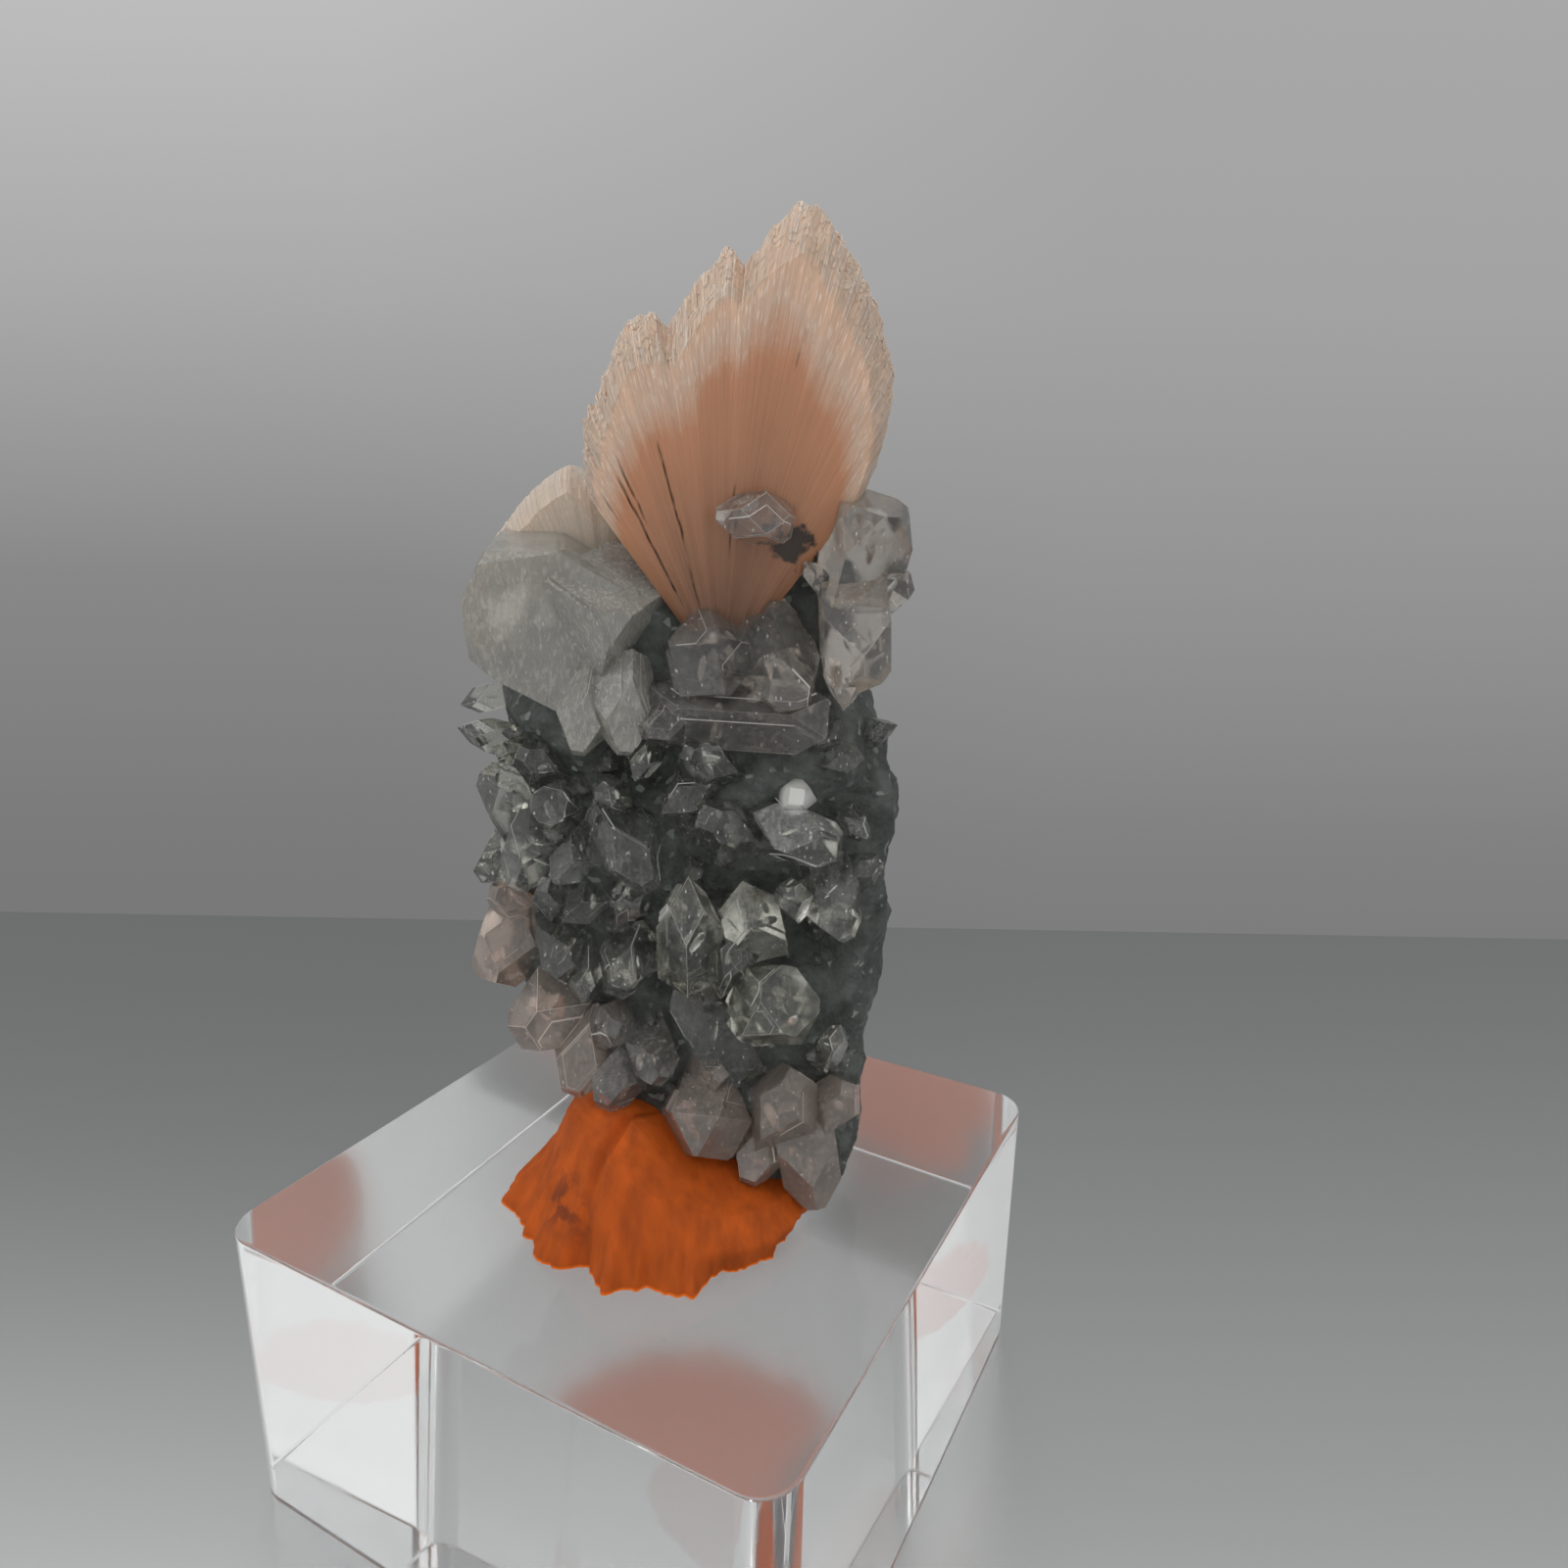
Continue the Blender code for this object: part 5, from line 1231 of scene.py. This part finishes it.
def apophyllite(name, tint, finish):
    # Apophyllite: glassy growth faces with fine pits and flecks over a soft milky haze, lighter worn
    # edges, and on one crystal a painted highlight
    material, tree, where = new_material(name)
    edge = add_node(tree, "Attribute", attribute_name="worn").outputs["Fac"]
    cloud = add_node(tree, "TexNoise", {
        "Vector": where, "Scale": per_mm(HAZE_SIZE), "Detail": 2.0, "Roughness": 0.5})
    milky = add_node(tree, "MapRange", {
        "Value": cloud, "From Min": 0.3, "From Max": 0.7, "To Min": finish.passing + HAZE_SWING,
        "To Max": finish.passing - HAZE_SWING}, interpolation_type="SMOOTHSTEP")
    scratched = add_node(tree, "Mapping", {
        "Vector": where, "Rotation": SCRATCH_TURN, "Scale": SCRATCH_STRETCH})
    cells = add_node(tree, "TexVoronoi", {"Vector": scratched, "Scale": per_mm(FLECK_SPACING)})
    near = add_node(tree, "MapRange", {
        "Value": cells.outputs["Distance"], "From Min": 0.08, "From Max": 0.2,
        "To Min": 1.0, "To Max": 0.0})
    chosen = add_node(tree, "MapRange", {
        "Value": cells.outputs["Color"], "From Min": 0.9 - finish.flecks,
        "From Max": 1.0 - finish.flecks})
    fleck = add_node(tree, "Math", {0: near, 1: chosen}, operation="MULTIPLY")
    pits = add_node(tree, "TexNoise", {
        "Vector": scratched, "Scale": per_mm(PIT_SIZE), "Detail": 5.0, "Roughness": 0.65})
    frost = add_node(tree, "MapRange", {
        "Value": pits, "From Min": 0.5, "From Max": 0.62, "To Max": finish.relief})
    dusted = add_node(tree, "Math", {0: fleck, 1: frost}, operation="MAXIMUM")
    marked = add_node(tree, "Math", {0: dusted, 1: edge}, operation="MAXIMUM")
    through = add_node(tree, "Mix", {0: marked, 2: milky, 3: EDGE_PASSING}, data_type="FLOAT")
    # Painted highlight: a whiter, less clear spot for a glint on one crystal of the middle group
    aside = add_node(tree, "VectorMath", {0: where, 1: PLACE @ Vector(GLINT_SPOT_PLACE)},
                     operation="SUBTRACT")
    flattened = add_node(tree, "VectorMath", {0: aside, 1: GLINT_SPOT_STRETCH}, operation="MULTIPLY")
    from_glint_spot = add_node(tree, "VectorMath", {0: flattened}, operation="LENGTH").outputs["Value"]
    spot = add_node(tree, "MapRange", {
        "Value": from_glint_spot, "From Min": 0.5 * GLINT_SPOT_REACH * MM, "From Max": GLINT_SPOT_REACH * MM,
        "To Min": GLINT_SPOT_PASSING, "To Max": 1.0})
    lit = add_node(tree, "Math", {0: through, 1: spot}, operation="MINIMUM")
    etched = add_node(tree, "TexNoise", {"Vector": where, "Scale": per_mm(ETCHED_SIZE), "Detail": 3.0})
    low, high = finish.rough
    skin = add_node(tree, "MapRange", {
        "Value": etched, "From Min": 0.4, "From Max": 0.7, "To Min": low, "To Max": high})
    steps = add_node(tree, "TexVoronoi", {"Vector": where, "Scale": per_mm(FACE_STEP_SIZE)},
                     distance="CHEBYCHEV")
    stepped = add_node(tree, "Bump", {
        "Height": steps.outputs["Distance"], "Strength": finish.relief, "Distance": 0.2 * MM})
    bump = add_node(tree, "Bump", {
        "Height": pits, "Strength": finish.relief, "Distance": 0.2 * MM, "Normal": stepped})
    shader = add_node(tree, "BsdfPrincipled", {
        "Base Color": with_alpha(tint), "Roughness": skin, "IOR": 1.535,
        "Transmission Weight": lit, "Normal": bump})
    volume = add_node(tree, "VolumeAbsorption", {"Color": with_alpha(tint), "Density": GLASS_DENSITY})
    add_node(tree, "OutputMaterial", {"Surface": shader, "Volume": volume})
    return material


def satin_floor(settings):
    # Satin metallic board, which fades out at its near and far edges
    material, tree, where = new_material("satin_metallic_board")
    shader = add_node(tree, "BsdfPrincipled", {
        "Base Color": with_alpha(settings.floor_colour), "Roughness": 0.26, "Metallic": 1.0})
    width, depth = (side / 2 * MM for side in FLOOR_SIZE)
    turned = add_node(tree, "Mapping", {
        "Vector": where, "Rotation": (0.0, 0.0, -SPECIMEN_TURN),
        "Location": (0.0, -FLOOR_MIDDLE * MM, 0.0)})
    apart = add_node(tree, "VectorMath", {0: turned}, operation="ABSOLUTE")
    beyond = add_node(tree, "VectorMath", {0: apart, 1: (width, depth, 0.0)}, operation="SUBTRACT")
    parts = add_node(tree, "SeparateXYZ", {0: beyond})
    away = add_node(tree, "Math", {0: parts.outputs["X"], 1: parts.outputs["Y"]}, operation="MAXIMUM")
    fade = add_node(tree, "MapRange", {"Value": away, "From Min": -FLOOR_FADE * MM, "From Max": 0.0},
                    interpolation_type="SMOOTHSTEP")
    clear = add_node(tree, "BsdfTransparent")
    mix = add_node(tree, "MixShader", {0: fade, 1: shader, 2: clear})
    add_node(tree, "OutputMaterial", {"Surface": mix})
    return material


def painted_light_wall():
    # Grey board that glows with painted light, brighter towards the top and unlike at left and right,
    # as light from above would fall on it; seen only from its front
    material, tree, where = new_material("lit_matte_board")
    parts = add_node(tree, "SeparateXYZ", {0: where})
    height = add_node(tree, "MapRange", {"Value": parts.outputs["Z"], "From Max": WALL_SIZE[1] * MM})
    left, right = (
        add_node(tree, "ValToRGB", {"Fac": height},
                 stops=[(spot / WALL_SIZE[1], grey(light)) for spot, light in rows])
        for rows in (WALL_LEFT, WALL_RIGHT))
    side = add_node(tree, "VectorMath", {0: where, 1: RIGHTWARD},
                    operation="DOT_PRODUCT").outputs["Value"]
    share = add_node(tree, "MapRange", {
        "Value": side, "From Min": -WALL_BLEND * MM, "From Max": WALL_BLEND * MM})
    both = add_node(tree, "Mix", {0: share, 6: left, 7: right}, data_type="RGBA").outputs[2]
    painted_glow = add_node(tree, "Emission", {"Color": both, "Strength": 1.0})
    clear = add_node(tree, "BsdfTransparent")
    behind = add_node(tree, "NewGeometry").outputs["Backfacing"]
    mix = add_node(tree, "MixShader", {0: behind, 1: painted_glow, 2: clear})
    add_node(tree, "OutputMaterial", {"Surface": mix})
    return material


def soft_light(name, place, size, power):
    """A square soft light that looks at the middle of the specimen."""
    spot = PLACE @ Vector(place)
    turn = (PLACE @ Vector(LIGHT_AIM) - spot).to_track_quat("-Z", "Y").to_euler()
    bpy.ops.object.light_add(type="AREA", location=spot, rotation=turn)
    light = bpy.context.object
    light.name = name
    light.data.shape = "SQUARE"
    light.data.size = size
    light.data.energy = power


def backdrop():
    """A plain grey surround that brightens from the table's level up to overhead."""
    world = bpy.data.worlds.new("grey_surround")
    bpy.context.scene.world = world
    world.use_nodes = True
    tree = world.node_tree
    tree.nodes.clear()
    look = add_node(tree, "TexCoord").outputs["Generated"]
    parts = add_node(tree, "SeparateXYZ", {0: look})
    height = add_node(tree, "MapRange", {
        "Value": parts.outputs["Z"], "From Min": -0.5, "From Max": 1.0})
    shade = add_node(tree, "ValToRGB", {"Fac": height},
                     stops=[(spot, grey(light)) for spot, light in SURROUND])
    side = add_node(tree, "VectorMath", {0: look, 1: -RIGHTWARD},
                    operation="DOT_PRODUCT").outputs["Value"]
    right, left = SURROUND_SIDES
    share = add_node(tree, "MapRange", {
        "Value": side, "From Min": -1.0, "From Max": 1.0, "To Min": right, "To Max": left})
    lit = add_node(tree, "Background", {"Color": shade, "Strength": share})
    add_node(tree, "OutputWorld", {"Surface": lit})


def stage_board(name, size, middle, tilt, material):
    """A flat board of the stage, lying or standing square to the viewer."""
    width, height = size
    place = Matrix.Rotation(SPECIMEN_TURN, 4, "Z") @ Vector(middle) * MM
    bpy.ops.mesh.primitive_plane_add(size=1.0, location=place, rotation=(tilt, 0.0, SPECIMEN_TURN))
    bpy.ops.transform.resize(value=(width * MM, height * MM, 1.0), orient_type="LOCAL")
    board = bpy.context.object
    board.name = name
    bpy.ops.object.transform_apply(location=True, rotation=True, scale=True)
    board.data.materials.append(material)


def photo_camera():
    """The camera at the photograph's place and angle."""
    bpy.ops.object.camera_add()
    camera = bpy.context.object
    camera.data.lens = CAMERA_LENS
    camera.data.sensor_width = CAMERA_SENSOR
    camera.data.clip_start = 0.001
    place = Matrix.Translation(PLACE @ Vector(CAMERA_PLACE)) @ Matrix.Rotation(SPECIMEN_TURN, 4, "Z")
    camera.matrix_world = (place @ Matrix.Rotation(math.pi / 2 - CAMERA_PITCH, 4, "X")
                           @ Matrix.Rotation(-CAMERA_ROLL, 4, "Z"))
    bpy.context.scene.camera = camera


class SPECIMEN_OT_block(bpy.types.Operator):
    """Make the clear acrylic block with polished faces"""
    bl_idname = "specimen.block"
    bl_label = "Acrylic block"

    def execute(self, context):
        settings = context.scene.specimen_stand
        thing = polished_block(settings)
        material = polished_acrylic(settings)
        finish_piece(thing, material, ("acrylic_block",), BLOCK_PLACE)
        return {"FINISHED"}


class SPECIMEN_OT_putty(bpy.types.Operator):
    """Make the thumbed putty that holds the specimen"""
    bl_idname = "specimen.putty"
    bl_label = "Mounting putty"

    def execute(self, context):
        thing = rolled_body("mounting_putty_thumbed", PUTTY_AROUND, PUTTY_ALONG, putty_point)
        bpy.ops.object.shade_smooth()
        material = thumbed_putty(context.scene.specimen_stand)
        finish_piece(thing, material, ("mounting_putty",))
        return {"FINISHED"}


class SPECIMEN_OT_basalt(bpy.types.Operator):
    """Make the broken basalt that the crystals grew on"""
    bl_idname = "specimen.basalt"
    bl_label = "Basalt matrix"

    def execute(self, context):
        thing = rolled_body("basalt_matrix_stone", ROCK_AROUND, ROCK_ALONG, rock_point)
        bpy.ops.object.shade_smooth()
        material = broken_basalt(context.scene.specimen_minerals)
        finish_piece(thing, material, ("basalt_matrix",))
        return {"FINISHED"}


class SPECIMEN_OT_stilbite(bpy.types.Operator):
    """Make the two sheaves of stilbite with their stepped ends"""
    bl_idname = "specimen.stilbite"
    bl_label = "Stilbite sheaves"

    def execute(self, context):
        colours = context.scene.specimen_minerals
        main_fan = stilbite("stilbite_sheaf_blades", MAIN_SHEAF)
        silky = silky_stilbite("silky_stilbite", colours.stilbite_core, srgb(VEIL_COLOUR),
                               colours.stilbite_rim)
        finish_piece(main_fan, silky, ("stilbite_sheaf",))
        pale_fan = stilbite("stilbite_sheaf_pale_blades", PALE_SHEAF)
        milky = silky_stilbite("milky_stilbite", srgb(PALE_CORE_COLOUR), srgb(PALE_VEIL_COLOUR),
                               srgb(PALE_RIM_COLOUR))
        finish_piece(pale_fan, milky, ("stilbite_sheaf_pale",))
        return {"FINISHED"}


class SPECIMEN_OT_apophyllite(bpy.types.Operator):
    """Make the groups of apophyllite crystals"""
    bl_idname = "specimen.apophyllite"
    bl_label = "Apophyllite crystals"

    def execute(self, context):
        colours = context.scene.specimen_minerals
        clear = apophyllite("clear_apophyllite", colours.apophyllite_colour, CLEAR_FINISH)
        rosy = apophyllite("rosy_apophyllite", colours.rosy_colour, ROSY_FINISH)
        frosted = apophyllite("frosted_apophyllite", colours.frosted_colour, FROSTED_FINISH)
        hazy = apophyllite("hazy_apophyllite", srgb(HAZY_COLOUR), HAZY_FINISH)
        for name, specs in CRYSTALS.items():
            thing = crystal_group(name + "_crystals", specs, GROWTHS)
            soften_edges(thing, CRYSTAL_EDGE)
            healed_cracks(thing, specs, random.Random(name + " cracks"))
            material = clear
            for kind, members in ((frosted, FROSTED_GROUPS), (hazy, HAZY_GROUPS), (rosy, ROSY_GROUPS)):
                if name in members:
                    material = kind
            finish_piece(thing, material, (name,))
        return {"FINISHED"}


class SPECIMEN_OT_druse(bpy.types.Operator):
    """Make the carpet of small apophyllite crystals on the rock"""
    bl_idname = "specimen.druse"
    bl_label = "Small crystals"

    def execute(self, context):
        thing = druse(bpy.data.objects["basalt_matrix_stone"])
        tint = context.scene.specimen_minerals.apophyllite_colour
        glassy = apophyllite("glassy_apophyllite", tint, DRUSE_FINISH)
        finish_piece(thing, glassy)
        return {"FINISHED"}


class SPECIMEN_OT_stage(bpy.types.Operator):
    """Make the floor, the wall, the soft lights, the surround and the camera"""
    bl_idname = "specimen.stage"
    bl_label = "Stage"

    def execute(self, context):
        settings = context.scene.specimen_stage
        deselect()
        floor_place = (0.0, FLOOR_MIDDLE, FLOOR_DROP)
        stage_board("floor", FLOOR_SIZE, floor_place, 0.0, satin_floor(settings))
        wall_place = (0.0, WALL_PLACE, WALL_SIZE[1] / 2 - WALL_SUNK)
        stage_board("wall", WALL_SIZE, wall_place, math.pi / 2, painted_light_wall())
        soft_light("key_light", KEY_PLACE, KEY_SIZE, settings.key_power)
        soft_light("top_light", TOP_PLACE, TOP_SIZE, settings.top_power)
        backdrop()
        photo_camera()
        context.scene.view_settings.view_transform = "Standard"
        cycles = context.scene.cycles
        cycles.use_denoising = True
        cycles.max_bounces = 24
        cycles.transmission_bounces = 20
        cycles.glossy_bounces = 16
        cycles.diffuse_bounces = 6
        cycles.transparent_max_bounces = 16
        return {"FINISHED"}


class SPECIMEN_PT_panel(bpy.types.Panel):
    bl_label = "Specimen"
    bl_idname = "SPECIMEN_PT_panel"
    bl_space_type = "VIEW_3D"
    bl_region_type = "UI"
    bl_category = "Specimen"

    def draw(self, context):
        for operator in OPERATORS:
            self.layout.operator(operator.bl_idname)
        for group in SETTINGS:
            settings = getattr(context.scene, group)
            for name in settings.__annotations__:
                self.layout.prop(settings, name)


OPERATORS = (
    SPECIMEN_OT_block, SPECIMEN_OT_putty, SPECIMEN_OT_basalt, SPECIMEN_OT_stilbite,
    SPECIMEN_OT_apophyllite, SPECIMEN_OT_druse, SPECIMEN_OT_stage,
)
SETTINGS = {
    "specimen_stand": StandSettings,
    "specimen_minerals": MineralSettings,
    "specimen_stage": StageSettings,
}


def register():
    for kind in (*SETTINGS.values(), *OPERATORS, SPECIMEN_PT_panel):
        bpy.utils.register_class(kind)
    for name, kind in SETTINGS.items():
        setattr(bpy.types.Scene, name, bpy.props.PointerProperty(type=kind))


def unregister():
    for name in SETTINGS:
        delattr(bpy.types.Scene, name)
    for kind in reversed((*SETTINGS.values(), *OPERATORS, SPECIMEN_PT_panel)):
        bpy.utils.unregister_class(kind)


def main():
    register()
    bpy.ops.specimen.block()
    bpy.ops.specimen.putty()
    bpy.ops.specimen.basalt()
    bpy.ops.specimen.stilbite()
    bpy.ops.specimen.apophyllite()
    bpy.ops.specimen.druse()
    bpy.ops.specimen.stage()


if __name__ == "__main__":
    main()
